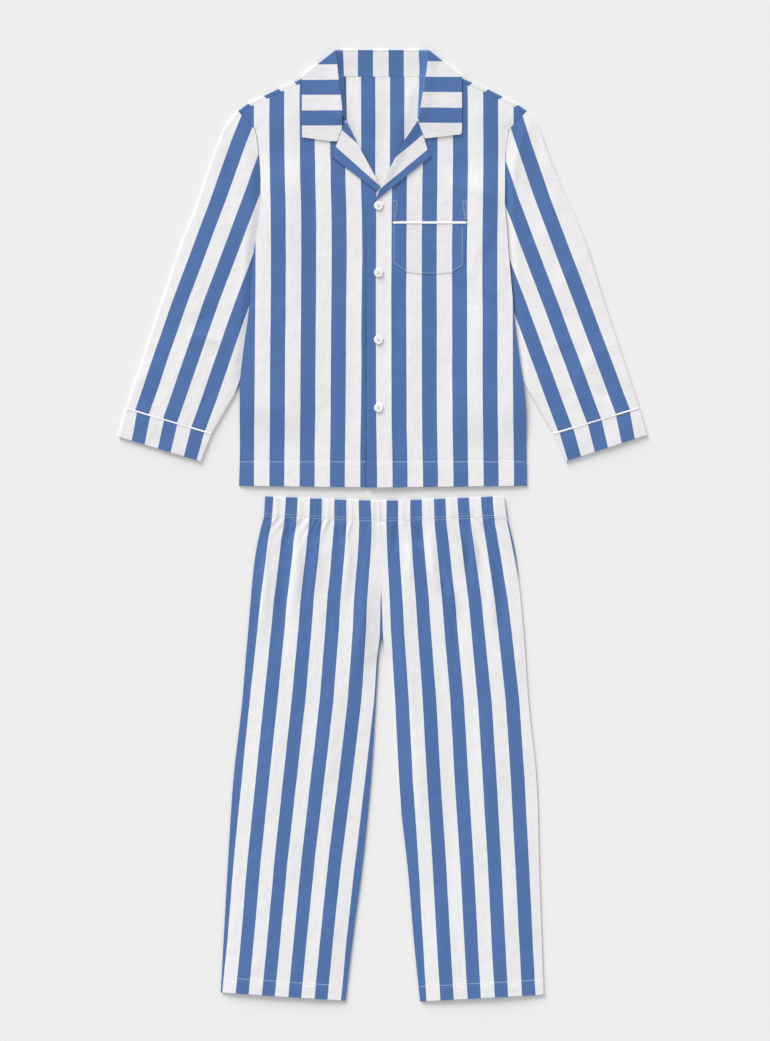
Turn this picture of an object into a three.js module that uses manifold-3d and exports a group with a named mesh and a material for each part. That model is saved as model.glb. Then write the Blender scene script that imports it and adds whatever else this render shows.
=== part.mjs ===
// Striped pyjama set, laid flat and face up: a long-sleeved shirt above a pair
// of trousers. Millimetres, +Z up, +Y towards the collar. The wearer's left is
// on +X. The origin lies under the middle of the set, on the surface below it.
import * as THREE from "three";
import { mergeVertices } from "three/addons/utils/BufferGeometryUtils.js";
import Module from "manifold-3d";

const wasm = await Module();
wasm.setup();

// Driving dimensions
const WALL = 1.0;              // one layer of cloth
const FOLDED_WALL = 1.4;       // lapels and collar leaves, sewn double
const CASING_WALL = 1.3;       // cuffs and waistband, sewn double
const SEAM_GAP = 0.3;          // between pieces sewn edge to edge
const LAYER_GAP = 0.35;        // between a layer and the layer on it
const LAYER = WALL + LAYER_GAP;
const BODY_AIR = 1.4;          // loose height between the shirt's back and fronts
const LEG_AIR = 1.6;           // the same in the trouser legs
const SLEEVE_AIR = 1.0;        // the same in the sleeves
const CUFF_AIR = 0.4;
const BUTTON = {
  radius: 7.9, thick: 2.2, rim: 1.1, rimSlope: 1, dish: 0.5, foot: 0.8, footRise: 0.7, bevel: 0.5, bevelDrop: 0.6,
  hole: 0.9, holeSpread: 1.9, facets: 20, holeFacets: 6,
};
const TURN = 1.3;              // how far a fold's solid edge reaches in
const BUTTONHOLE = { length: 17, width: 0.8, offset: 2 };
const PIPING_WIDTH = 1.7;
const PIPING_RISE = 0.5;       // how far piping stands proud of the cloth
const SHIRT_GRID = { x: 32, y: 48, fromX: 3.1, fromY: 5.3 };   // facets of the flat panels
const LEG_GRID = { x: 42, y: 76, fromX: 3.1, fromY: 5.3 };
const TALL = 40;               // higher than any layer
const SAME_POINT = 1e-5;       // points closer than this are one point
const TUBE_FOLD = { outerShare: 0.3, insideHalf: 0.1 };   // where a tube's folded edges lie in its height
const ACROSS_CUFF = [0, 0.07, 0.35, 0.65, 0.93, 1];       // places across a cuff, as shares
const ARMHOLE_GAP = 1.4 * SEAM_GAP;                       // measured sideways, as the armhole leans
const SHOULDER_SEAM_GAP = 2 * SEAM_GAP;                   // measured upwards, as the shoulder slopes

// Shirt: half-widths by height, from the hem to the underarm
const SIDE_EDGE = [
  { y: 70, right: -251.6, left: 252.3 },
  { y: 115, right: -250.3, left: 251.5 },
  { y: 220, right: -250.3, left: 249.5 },
  { y: 246, right: -250.0, left: 246.5 },
  { y: 290, right: -246.0, left: 239.5 },
  { y: 325, right: -241.3, left: 234.7 },
  { y: 360, right: -236.3, left: 230.5 },
  { y: 395, right: -232.4, left: 227.5 },
  { y: 483, right: -225.4, left: 219.5 },
];
// Armhole seam, from the underarm to the shoulder tip
const ARMHOLE = [
  { y: 526, right: -218.4, left: 216.5 },
  { y: 546, right: -216.3, left: 214.5 },
  { y: 597, right: -213.7, left: 213.9 },
  { y: 662, right: -217.9, left: 215.5 },
  { y: 693, right: -223.0, left: 220.3 },
  { y: 716.5, right: -244.7, left: 243.0 },
  { y: 725.5, right: -253.0, left: 252.2 },
];
// Shoulder fold, from the tip to the neck, and the drop to the seam in front of it
const SHOULDER = [
  { y: 739, right: -234.7, left: 233.0 },
  { y: 764, right: -182.9, left: 182.9 },
  { y: 782.6, right: -139.7, left: 138.0 },
  { y: 809, right: -86.0, left: 84.0 },
];
const SHOULDER_DROP = 7.8;
const HEM_MIDDLE_Y = 66.9;
const NECK_SEAM_Y = 785.3;
const NECK_SEAM = { right: -80, left: 77 };

// Front edges: where the fronts lap, and the roll lines of the lapels
const LAP = { top: -27.6, under: 14.4, breakY: 566.6 };
const ROLL_RIGHT = [
  { x: -3.3, y: 591.4 }, { x: -11.9, y: 608.6 }, { x: -41.7, y: 663.5 }, { x: -63.4, y: 707.4 },
];
const ROLL_LEFT = [
  { x: -3.3, y: 591.4 }, { x: 14.7, y: 629.6 }, { x: 38.0, y: 674.0 }, { x: 62.3, y: 710.0 },
];
const LAP_EASE = [{ x: -14.0, y: 566.6 }, { x: -23.5, y: 553.3 }, { x: -27.6, y: 535 }];
const LAPEL_RIGHT_EDGE = [
  { x: -71.2, y: 693.1 }, { x: -79.6, y: 669.8 }, { x: -89.3, y: 645.3 }, { x: -10.4, y: 585.4 },
  { x: -4.2, y: 592.4 },
];
const LAPEL_LEFT_EDGE = [
  { x: 62.3, y: 703.7 }, { x: 73.0, y: 676.0 }, { x: 78.2, y: 657.6 }, { x: 84.7, y: 646.5 },
  { x: -15.0, y: 565.9 },
];

// Collar: its roll (inner edge of each leaf), where its inside meets the back,
// and the outer outline of each leaf
const COLLAR_TOP_Y = 832.04;
const COLLAR_ROLL = [
  { y: 832.04, right: -81.9, left: 80.3 },
  { y: 793, right: -78.2, left: 76.2 },
  { y: 788, right: -77.7, left: 75.4 },
  { y: 754, right: -73.5, left: 69.8 },
  { y: 723, right: -70.2, left: 64.4 },
  { y: 712, right: -66.6, left: 62.9 },
];
const COLLAR_INSIDE = [
  { right: -69.7, left: 62.3 },
  { right: -68.3, left: 64.9 },
  { right: -68.0, left: 65.0 },
  { right: -65.8, left: 63.0 },
  { right: -64.0, left: 61.4 },
  { right: -63.9, left: 61.2 },
];
const LEAF_RIGHT = [
  { x: -71.6, y: 694.2 }, { x: -80.0, y: 670.8 }, { x: -141.4, y: 679.4 }, { x: -141.4, y: 786.0 },
];
const LEAF_LEFT = [
  { x: 63.2, y: 705.0 }, { x: 73.3, y: 677.0 }, { x: 138.5, y: 684.7 }, { x: 138.5, y: 786.0 },
];
const ROWS_OVER_STAND = 2;
const STAND_OVERLAP = 1;       // how far the stand runs into the collar's inside
const ROLL_OVERLAP = 0.9;      // how far the inside runs into the roll
const NECKLINE_INSET = 2;      // how far the fronts' neckline lies under the leaves
const INSIDE_SHARES = [0, 0.15, 1];   // places on the collar's inside, from the back to the roll
// Outer edge of the collar's fall where it lies behind the back
const FALL_EDGE = [
  { x: 112, y: 766 }, { x: 60, y: 757 }, { x: 0, y: 755 }, { x: -62, y: 757 }, { x: -114, y: 766 },
];

// Pocket, on the left front
const POCKET = { right: 17.7, left: 147.4, top: 569.4, bandEnd: 530.9, bodyTop: 528.6 };
const POCKET_BOTTOM = [
  { x: 142.0, y: 455.5 }, { x: 122.0, y: 442.0 }, { x: 82.0, y: 440.1 }, { x: 40.0, y: 443.5 },
  { x: 19.4, y: 459.0 },
];
const BUTTON_X = -7.5;
const BUTTON_ROWS = [{ y: 559.6 }, { y: 442.3 }, { y: 325.1 }, { y: 206.1 }];

// Sleeves: outer and inner edge of each section, from the armhole to the cuff.
// bulge is the share of the armhole's curve that the section keeps.
const SLEEVE_RIGHT = [
  { outer: [-253.3, 725.2], inner: [-218.7, 526.0], bulge: 1 },
  { outer: [-269.2, 706.0], inner: [-208.0, 500.0], bulge: 0.7 },
  { outer: [-296.1, 643.6], inner: [-201.0, 461.6], bulge: 0.35 },
  { outer: [-325.2, 558.7], inner: [-202.7, 412.6], bulge: 0.1 },
  { outer: [-351.4, 494.1], inner: [-211.4, 356.6], bulge: 0 },
  { outer: [-383.6, 396.8], inner: [-228.9, 297.0], bulge: 0 },
  { outer: [-416.2, 300.6], inner: [-250.6, 246.3], bulge: 0 },
  { outer: [-433.0, 251.0], inner: [-275.5, 203.0], bulge: 0 },
  { outer: [-447.9, 206.6], inner: [-299.1, 162.3], bulge: 0 },
];
const SLEEVE_LEFT = [
  { outer: [252.5, 725.2], inner: [216.8, 526.0], bulge: 1 },
  { outer: [266.4, 709.0], inner: [208.0, 500.0], bulge: 0.7 },
  { outer: [290.7, 645.3], inner: [201.0, 461.6], bulge: 0.35 },
  { outer: [321.5, 573.0], inner: [203.0, 412.6], bulge: 0.1 },
  { outer: [350.5, 507.0], inner: [211.0, 356.6], bulge: 0 },
  { outer: [386.2, 395.1], inner: [228.0, 297.0], bulge: 0 },
  { outer: [417.3, 301.0], inner: [249.5, 246.3], bulge: 0 },
  { outer: [433.0, 253.0], inner: [274.5, 203.0], bulge: 0 },
  { outer: [447.9, 207.6], inner: [298.2, 162.5], bulge: 0 },
];
const CUFF_EDGE_RIGHT = { outer: [-462.0, 156.0], inner: [-318.7, 112.8] };
const CUFF_EDGE_LEFT = { outer: [462.0, 159.0], inner: [319.9, 112.8] };

// Trousers: the waistband's two edges, then the legs by height
const WAIST = [
  { topX: -205.8, top: 51.4, bottomX: -207.9, bottom: 15.7 },
  { topX: -194.5, top: 51.0, bottomX: -196.5, bottom: 15.3 },
  { topX: -120.0, top: 47.8, bottomX: -120.0, bottom: 12.1 },
  { topX: -31.2, top: 44.0, bottomX: -31.2, bottom: 8.3 },
  { topX: 26.6, top: 44.0, bottomX: 26.6, bottom: 8.3 },
  { topX: 119.0, top: 47.6, bottomX: 121.0, bottom: 11.0 },
  { topX: 201.0, top: 51.2, bottomX: 206.0, bottom: 13.4 },
  { topX: 212.3, top: 51.4, bottomX: 217.5, bottom: 13.7 },
];
const LEG_RIGHT = [
  { y: -19.3, outer: -216.8, inner: -3.6 },
  { y: -74.6, outer: -225.9, inner: -3.6 },
  { y: -95.6, outer: -228.0, inner: -3.6 },
  { y: -193.8, outer: -236.4, inner: 0.1 },
  { y: -217.4, outer: -238.5, inner: -6.8 },
  { y: -303.0, outer: -245.5, inner: -12.0 },
  { y: -436.9, outer: -260.6, inner: -20.2 },
  { y: -611.5, outer: -272.1, inner: -37.8 },
  { y: -724.9, outer: -278.5, inner: -52.9 },
];
const LEG_RIGHT_HEM = [{ x: -283.5, y: -816.3 }, { x: -65.3, y: -830.8 }];
const LEG_LEFT = [
  { y: -41.6, outer: 230.7, inner: -3.1 },
  { y: -95.6, outer: 237.5, inner: -3.1 },
  { y: -193.8, outer: 246.9, inner: 0.5 },
  { y: -260.8, outer: 251.6, inner: 7.7 },
  { y: -303.0, outer: 254.6, inner: 13.8 },
  { y: -436.9, outer: 268.3, inner: 25.2 },
  { y: -611.2, outer: 274.0, inner: 44.8 },
  { y: -724.9, outer: 278.0, inner: 54.3 },
];
const LEG_LEFT_HEM = [{ x: 281.6, y: -820.1 }, { x: 65.3, y: -832.04 }];
const CROTCH_X = -3.3;

// Where the shirt is lifted by what lies under it
const UNDERARM_LIFT = {
  height: 3.4, fullX: 172, endX: 112, lowEnd: 130, lowFull: 212, highFull: 582, highEnd: 650,
};
const NECK_LIFT = { height: LAYER, fullX: 165, endX: 205, fullY: 722, endY: 665 };
const LAP_LIFT = { height: LAYER, fullX: 22, endX: 70 };
// Where the loose height in the body fades out, and how much the lap holds it down
const AIR_FADE = { fullY: 560, endY: 700 };
const LAP_HOLD = { share: 0.6, reachX: 60 };
const CENTRE_CLEAR = 20;       // the legs' top edges leave the waist's middle row out

// Colours
const CLOTH = 0x9fb0cc;
const WHITE = 0xebe9ea;
const PLASTIC = 0xf1f0ee;
const ROUGHNESS = { cloth: 0.85, piping: 0.8, plastic: 0.35 };

// Helpers

const ramp = (value, from, to) => {
  const t = Math.min(1, Math.max(0, (value - from) / (to - from)));
  return t * t * (3 - 2 * t);
};

const lerp = (a, b, t) => a + (b - a) * t;

// Value of a named column at a height, in a table with a row for each height
function columnAt(table, name, y) {
  const rows = [...table].sort((a, b) => a.y - b.y);
  let k = 0;
  while (k < rows.length - 2 && rows[k + 1].y < y) k += 1;
  const [low, high] = [rows[k], rows[k + 1]];
  return lerp(low[name], high[name], Math.min(1, Math.max(0, (y - low.y) / (high.y - low.y))));
}

const column = (table, name) => table.map((row) => [row[name], row.y]);
const points = (table) => table.map((row) => [row.x, row.y]);

// Turn a closed geometry into a solid that can be joined and cut
function solidFrom(geometry) {
  geometry.deleteAttribute("normal");
  geometry.deleteAttribute("uv");
  const merged = mergeVertices(geometry, SAME_POINT);
  return new wasm.Manifold(new wasm.Mesh({
    numProp: 3,
    vertProperties: new Float32Array(merged.attributes.position.array),
    triVerts: new Uint32Array(merged.index.array),
  }));
}

function geometryFrom(solid) {
  const mesh = solid.getMesh();
  const geometry = new THREE.BufferGeometry();
  geometry.setAttribute("position", new THREE.BufferAttribute(new Float32Array(mesh.vertProperties), 3));
  geometry.setIndex(Array.from(mesh.triVerts));
  geometry.computeVertexNormals();
  return geometry;
}

function indexedGeometry(vertices, triangles) {
  const geometry = new THREE.BufferGeometry();
  geometry.setAttribute("position", new THREE.BufferAttribute(new Float32Array(vertices.flat()), 3));
  geometry.setIndex(triangles.flat());
  return geometry;
}

// A layer of cloth over a grid of points [x, y, underside z], thickened upwards
function layerFromGrid(grid, wall) {
  const [rows, cols] = [grid.length, grid[0].length];
  const below = grid.flat();
  const above = below.map(([x, y, z]) => [x, y, z + wall]);
  const top = rows * cols;
  const at = (i, j) => i * cols + j;
  const triangles = [];
  const wallStrip = (a, b) => triangles.push([a, b, b + top], [a, b + top, a + top]);
  for (let i = 0; i < rows - 1; i += 1) {
    for (let j = 0; j < cols - 1; j += 1) {
      const [a, b, c, d] = [at(i, j), at(i, j + 1), at(i + 1, j + 1), at(i + 1, j)];
      triangles.push([a, c, b], [a, d, c]);
      triangles.push([a + top, b + top, c + top], [a + top, c + top, d + top]);
    }
    wallStrip(at(i + 1, 0), at(i, 0));
    wallStrip(at(i, cols - 1), at(i + 1, cols - 1));
  }
  for (let j = 0; j < cols - 1; j += 1) {
    wallStrip(at(0, j), at(0, j + 1));
    wallStrip(at(rows - 1, j + 1), at(rows - 1, j));
  }
  return solidFrom(indexedGeometry([...below, ...above], triangles));
}

// A height function as the facets of the shared grid follow it
const onGrid = (height, grid = SHIRT_GRID) => (x, y) => {
  const place = (value, step, from) => {
    const k = Math.floor((value - from) / step);
    return { low: from + k * step, high: from + (k + 1) * step, share: (value - from) / step - k };
  };
  const [px, py] = [place(x, grid.x, grid.fromX), place(y, grid.y, grid.fromY)];
  const [near, far] = [height(px.low, py.low), height(px.high, py.high)];
  if (px.share >= py.share) {
    const side = height(px.high, py.low);
    return near + px.share * (side - near) + py.share * (far - side);
  }
  const side = height(px.low, py.high);
  return near + py.share * (side - near) + px.share * (far - side);
};

// A flat panel: an outline [x, y] and a function for the height of its underside.
// All panels share one grid, so that stacked panels have matching facets.
function panel(outline, under, wall = WALL, grid = SHIRT_GRID) {
  const xs = outline.map(([x]) => x);
  const ys = outline.map(([, y]) => y);
  const lines = (low, high, step, from) => {
    const first = Math.floor((low - from) / step) - 1;
    const last = Math.ceil((high - from) / step) + 1;
    return Array.from({ length: last - first + 1 }, (_, k) => from + (first + k) * step);
  };
  const gridX = lines(Math.min(...xs), Math.max(...xs), grid.x, grid.fromX);
  const gridY = lines(Math.min(...ys), Math.max(...ys), grid.y, grid.fromY);
  const places = gridY.map((y) => gridX.map((x) => [x, y, under(x, y)]));
  const shape = new THREE.Shape(outline.map(([x, y]) => new THREE.Vector2(x, y)));
  const prism = new THREE.ExtrudeGeometry(shape, { depth: 2 * TALL, bevelEnabled: false });
  prism.translate(0, 0, -TALL);
  return layerFromGrid(places, wall).intersect(solidFrom(prism));
}

// A flattened tube. Each row of points crosses the tube from fold to fold, and
// height(u) is its full height there; u runs from 0 to 1 across.
function flatTube(rows, height, wall) {
  const count = rows[0].length;
  const across = (row) => {
    const steps = row.map((p, k) => (k ? Math.hypot(p[0] - row[k - 1][0], p[1] - row[k - 1][1]) : 0));
    const total = steps.reduce((sum, step) => sum + step, 0);
    let run = 0;
    return steps.map((step) => { run += step; return run / total; });
  };
  const inset = (row, k) => {
    const next = k === 0 ? row[1] : row[k - 1];
    const length = Math.hypot(next[0] - row[k][0], next[1] - row[k][1]);
    return [0, 1].map((axis) => row[k][axis] + ((next[axis] - row[k][axis]) * wall) / length);
  };
  const rings = (row) => {
    const u = across(row);
    const layer = (isTop) => row.map((point, k) => {
      const isFold = k === 0 || k === count - 1;
      const full = height(u[k]);
      const outerZ = isFold ? TUBE_FOLD.outerShare * full : 0;
      const innerZ = isFold ? full / 2 - TUBE_FOLD.insideHalf : wall;
      const flip = (z) => (isTop ? full - z : z);
      const innerPoint = isFold ? inset(row, k) : point;
      return { outer: [...point, flip(outerZ)], inner: [...innerPoint, flip(innerZ)] };
    });
    return [...layer(false), ...layer(true).reverse()];
  };
  const all = rows.map(rings);
  const ringSize = all[0].length;
  const vertices = [...all.flat().map((p) => p.outer), ...all.flat().map((p) => p.inner)];
  const innerFrom = all.length * ringSize;
  const at = (i, k) => i * ringSize + (k % ringSize);
  const triangles = [];
  const quad = (a, b, c, d) => triangles.push([a, b, c], [a, c, d]);
  for (let i = 0; i < all.length - 1; i += 1) {
    for (let k = 0; k < ringSize; k += 1) {
      const [a, b, c, d] = [at(i, k), at(i, k + 1), at(i + 1, k + 1), at(i + 1, k)];
      quad(a, b, c, d);
      quad(innerFrom + d, innerFrom + c, innerFrom + b, innerFrom + a);
    }
  }
  for (let k = 0; k < ringSize; k += 1) {
    const last = all.length - 1;
    quad(innerFrom + at(0, k), innerFrom + at(0, k + 1), at(0, k + 1), at(0, k));
    quad(at(last, k), at(last, k + 1), innerFrom + at(last, k + 1), innerFrom + at(last, k));
  }
  return indexedGeometry(vertices, triangles);
}

// Turn a geometry's faces outwards, whichever way its rows were listed
function facingOut(geometry) {
  const position = geometry.attributes.position;
  const index = Array.from(geometry.index.array);
  const corner = (k) => new THREE.Vector3().fromBufferAttribute(position, index[k]);
  let volume = 0;
  for (let k = 0; k < index.length; k += 3) {
    volume += corner(k).dot(corner(k + 1).cross(corner(k + 2)));
  }
  if (volume < 0) {
    for (let k = 0; k < index.length; k += 3) {
      [index[k + 1], index[k + 2]] = [index[k + 2], index[k + 1]];
    }
    geometry.setIndex(index);
  }
  geometry.computeVertexNormals();
  return geometry;
}

// Full height of a flat tube at share u of its width, for its wall and its loose height
const tubeHeight = (wall, air) => (u) => 2 * wall + LAYER_GAP + air * 4 * u * (1 - u);

const group = new THREE.Group();

function add(name, geometry, color, roughness) {
  const material = new THREE.MeshStandardMaterial({ color, roughness, metalness: 0 });
  const mesh = new THREE.Mesh(geometry, material);
  mesh.name = name;
  group.add(mesh);
}

const addCloth = (name, solid, color = CLOTH) => add(name, geometryFrom(solid), color, ROUGHNESS.cloth);

// Heights of the shirt's layers

const bodyEdge = [...SIDE_EDGE, ...ARMHOLE];

function backUnder(x, y) {
  const { height, fullX, endX, lowEnd, lowFull, highFull, highEnd } = UNDERARM_LIFT;
  const side = ramp(Math.abs(x), endX, fullX);
  const along = ramp(y, lowEnd, lowFull) * (1 - ramp(y, highFull, highEnd));
  const neck = (1 - ramp(Math.abs(x), NECK_LIFT.fullX, NECK_LIFT.endX))
    * ramp(y, NECK_LIFT.endY, NECK_LIFT.fullY);
  return height * side * along + NECK_LIFT.height * neck;
}

function bodyAir(x, y) {
  const left = columnAt(bodyEdge, "left", y);
  const right = columnAt(bodyEdge, "right", y);
  const u = Math.min(1, Math.max(0, (x - right) / (left - right)));
  const nearNeck = 1 - ramp(y, AIR_FADE.fullY, AIR_FADE.endY);
  const lap = 1 - LAP_HOLD.share * Math.exp(-((x / LAP_HOLD.reachX) ** 2));
  return BODY_AIR * 4 * u * (1 - u) * nearNeck * lap;
}

const frontUnder = (x, y) => backUnder(x, y) + LAYER + bodyAir(x, y);
const topFrontUnder = (x, y) => frontUnder(x, y)
  + LAP_LIFT.height * (1 - ramp(x, LAP_LIFT.fullX, LAP_LIFT.endX));
const onFront = (x, y) => frontUnder(x, y) + LAYER;
const onTopFront = (x, y) => topFrontUnder(x, y) + LAYER;

// Shirt body

const shoulderSeam = (name) => {
  const inner = SHOULDER.map((row) => [row[name], row.y - SHOULDER_DROP]);
  const corner = ARMHOLE[ARMHOLE.length - 2];
  return [[corner[name], corner.y], ...inner];
};

function shirtBack() {
  const edge = (name) => [...column(bodyEdge, name), ...column(SHOULDER, name)];
  const outline = [
    [0, HEM_MIDDLE_Y], ...edge("left"),
    [NECK_SEAM.left, NECK_SEAM_Y], [NECK_SEAM.right, NECK_SEAM_Y],
    ...edge("right").reverse(),
  ];
  let solid = panel(outline, backUnder);
  for (const name of ["right", "left"]) {
    const inward = name === "right" ? 1 : -1;
    const tip = ARMHOLE[ARMHOLE.length - 1];
    const fold = [[tip[name], tip.y], ...column(SHOULDER, name)];
    const seam = shoulderSeam(name).map(([x, y]) => [x, y + SHOULDER_SEAM_GAP]);
    const strip = panel([...fold, ...seam.reverse()], (x, y) => backUnder(x, y) + LAYER);
    const lip = fold.map(([x, y]) => [x + inward * TURN, y - TURN]).reverse();
    const turn = panel([...fold, ...lip], backUnder, WALL + LAYER);
    solid = solid.add(strip).add(turn);
  }
  return solid;
}

function neckline(name) {
  const inward = name === "right" ? -1 : 1;
  return column(COLLAR_ROLL.slice(1), name).map(([x, y]) => [x + NECKLINE_INSET * inward, y]);
}

function shirtFrontRight() {
  const outline = [
    [LAP.under, HEM_MIDDLE_Y], [LAP.under, LAP.breakY],
    ...points(ROLL_RIGHT), ...neckline("right").reverse(),
    ...shoulderSeam("right").reverse(), ...column(bodyEdge, "right").slice(0, -2).reverse(),
  ];
  return panel(outline, frontUnder);
}

function shirtFrontLeft() {
  const outline = [
    [LAP.top, HEM_MIDDLE_Y], ...column(bodyEdge, "left").slice(0, -2), ...shoulderSeam("left"),
    ...neckline("left"), ...points(ROLL_LEFT).reverse(), ...points(LAP_EASE),
  ];
  let solid = panel(outline, topFrontUnder);
  for (const { y } of BUTTON_ROWS) {
    const slit = new THREE.BoxGeometry(BUTTONHOLE.length, BUTTONHOLE.width, TALL);
    slit.translate(BUTTON_X + BUTTONHOLE.offset, y, 0);
    solid = solid.subtract(solidFrom(slit));
  }
  return solid;
}

const lapelRight = () => panel(
  [...points(ROLL_RIGHT.slice(1)), ...points(LAPEL_RIGHT_EDGE)], onFront, FOLDED_WALL);

const lapelLeft = () => panel([...points(ROLL_LEFT), ...points(LAPEL_LEFT_EDGE)], onTopFront, FOLDED_WALL);

// Collar: a fall that lies behind the back, folds up over the top into the
// stand and round the neck into the leaves, and an inside that slopes down
// from the roll of each leaf to the back

function collar() {
  const backTop = onGrid((x, y) => backUnder(x, y) + WALL);
  const cornerRight = [COLLAR_ROLL[0].right, COLLAR_TOP_Y];
  const cornerLeft = [COLLAR_ROLL[0].left, COLLAR_TOP_Y];
  const sideRight = points(LEAF_RIGHT.slice(-1))[0];
  const sideLeft = points(LEAF_LEFT.slice(-1))[0];
  const flat = () => 0;
  const fall = panel([cornerRight, cornerLeft, sideLeft, ...points(FALL_EDGE), sideRight].reverse(), flat);
  const standY = NECK_SEAM_Y + SEAM_GAP;
  const stand = panel([
    [COLLAR_INSIDE[0].right - STAND_OVERLAP, COLLAR_TOP_Y], [COLLAR_INSIDE[1].right - STAND_OVERLAP, standY],
    [COLLAR_INSIDE[1].left + STAND_OVERLAP, standY], [COLLAR_INSIDE[0].left + STAND_OVERLAP, COLLAR_TOP_Y],
  ], () => LAYER);
  const topFold = panel([
    [cornerRight[0], COLLAR_TOP_Y - WALL], [cornerLeft[0], COLLAR_TOP_Y - WALL], cornerLeft, cornerRight,
  ], flat, WALL + LAYER);
  let solid = fall.add(stand).add(topFold);
  for (const [name, leaf, side, corner] of [
    ["right", LEAF_RIGHT, sideRight, cornerRight], ["left", LEAF_LEFT, sideLeft, cornerLeft],
  ]) {
    const outline = [...column(COLLAR_ROLL.slice(0, 5), name), ...points(leaf)];
    const leafSolid = panel(outline, onFront, FOLDED_WALL);
    const outward = name === "right" ? -1 : 1;
    const lip = [[side[0] - outward * TURN, side[1]], [corner[0], corner[1] - TURN]];
    const turn = panel([corner, side, ...lip], flat, onFront(...corner) + FOLDED_WALL);
    const inside = COLLAR_ROLL.map((row, k) => {
      const [rollX, insideX, y] = [row[name], COLLAR_INSIDE[k][name], row.y];
      const low = k < ROWS_OVER_STAND ? LAYER : backTop(insideX, y) + LAYER_GAP;
      const high = onGrid(onFront)(rollX, y) + (FOLDED_WALL - WALL) / 2;
      return INSIDE_SHARES.map((t) => [
        lerp(insideX, rollX + ROLL_OVERLAP * outward, t), y, lerp(low, high, t),
      ]);
    });
    solid = solid.add(leafSolid).add(turn).add(layerFromGrid(
      name === "right" ? inside.map((row) => [...row].reverse()).reverse() : [...inside].reverse(), WALL));
  }
  return solid;
}

// Pocket

const pocketPatch = () => panel([
  [POCKET.right, POCKET.bodyTop], ...points(POCKET_BOTTOM).reverse(), [POCKET.left, POCKET.bodyTop],
], onTopFront);

const pocketBand = () => panel([
  [POCKET.right, POCKET.bandEnd + SEAM_GAP], [POCKET.left, POCKET.bandEnd + SEAM_GAP],
  [POCKET.left, POCKET.top], [POCKET.right, POCKET.top],
], onTopFront, FOLDED_WALL);

const pocketPiping = () => panel([
  [POCKET.right, POCKET.bodyTop + SEAM_GAP], [POCKET.left, POCKET.bodyTop + SEAM_GAP],
  [POCKET.left, POCKET.bandEnd], [POCKET.right, POCKET.bandEnd],
], onTopFront, WALL + PIPING_RISE);

// Buttons: a turned disc with a raised rim and four holes

function button(y) {
  const { radius, thick, rim, rimSlope, dish, foot, footRise, bevel, bevelDrop, hole, holeSpread } = BUTTON;
  const profile = [
    [0, 0], [radius - foot, 0], [radius, footRise], [radius, thick - bevelDrop], [radius - bevel, thick],
    [radius - rim, thick], [radius - rim - rimSlope, thick - dish], [0, thick - dish],
  ].map(([r, z]) => new THREE.Vector2(r, z));
  const disc = new THREE.LatheGeometry(profile, BUTTON.facets);
  disc.rotateX(Math.PI / 2);
  let solid = solidFrom(facingOut(mergeVertices(stripped(disc), SAME_POINT)));
  for (const [sx, sy] of [[1, 1], [1, -1], [-1, 1], [-1, -1]]) {
    const drill = new THREE.CylinderGeometry(hole, hole, TALL, BUTTON.holeFacets);
    drill.rotateX(Math.PI / 2);
    drill.translate((sx * holeSpread) / 2 ** 0.5, (sy * holeSpread) / 2 ** 0.5, 0);
    solid = solid.subtract(solidFrom(drill));
  }
  const geometry = geometryFrom(solid);
  const reach = [-radius, 0, radius];
  const seat = Math.max(...reach.flatMap((dx) => reach.map((dy) => onGrid(topFrontUnder)(BUTTON_X + dx, y + dy))));
  geometry.translate(BUTTON_X, y, seat + WALL + SEAM_GAP);
  return geometry;
}

function stripped(geometry) {
  geometry.deleteAttribute("normal");
  geometry.deleteAttribute("uv");
  return geometry;
}

// Sleeves, piping and cuffs

function sleeveRows(table, name) {
  const head = [...ARMHOLE].reverse().map((row) => [row[name], row.y]);
  const outward = name === "right" ? -1 : 1;
  const shifted = head.map(([x, y]) => [x + ARMHOLE_GAP * outward, y]);
  const lengths = shifted.map((p, k) => (k ? Math.hypot(p[0] - shifted[k - 1][0], p[1] - shifted[k - 1][1]) : 0));
  const total = lengths.reduce((sum, step) => sum + step, 0);
  let run = 0;
  const share = lengths.map((step) => { run += step; return run / total; });
  const first = table[0];
  const curve = shifted.map(([x, y], k) => [
    x - lerp(first.outer[0], first.inner[0], share[k]),
    y - lerp(first.outer[1], first.inner[1], share[k]),
  ]);
  return table.map(({ outer, inner, bulge }) => share.map((t, k) => [
    lerp(outer[0], inner[0], t) + bulge * curve[k][0],
    lerp(outer[1], inner[1], t) + bulge * curve[k][1],
  ]));
}

// A short tube from one line across the sleeve to another; near and far are
// distances beyond the sleeve's end
function cuffRows(table, edge, near, far) {
  const end = table[table.length - 1];
  const length = Math.hypot(edge.outer[0] - end.outer[0], edge.outer[1] - end.outer[1]);
  return [near, far].map((distance) => {
    const t = distance === Infinity ? 1 : distance / length;
    return ACROSS_CUFF.map((u) => [0, 1].map((axis) => lerp(
      lerp(end.outer[axis], edge.outer[axis], t), lerp(end.inner[axis], edge.inner[axis], t), u)));
  });
}

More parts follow.
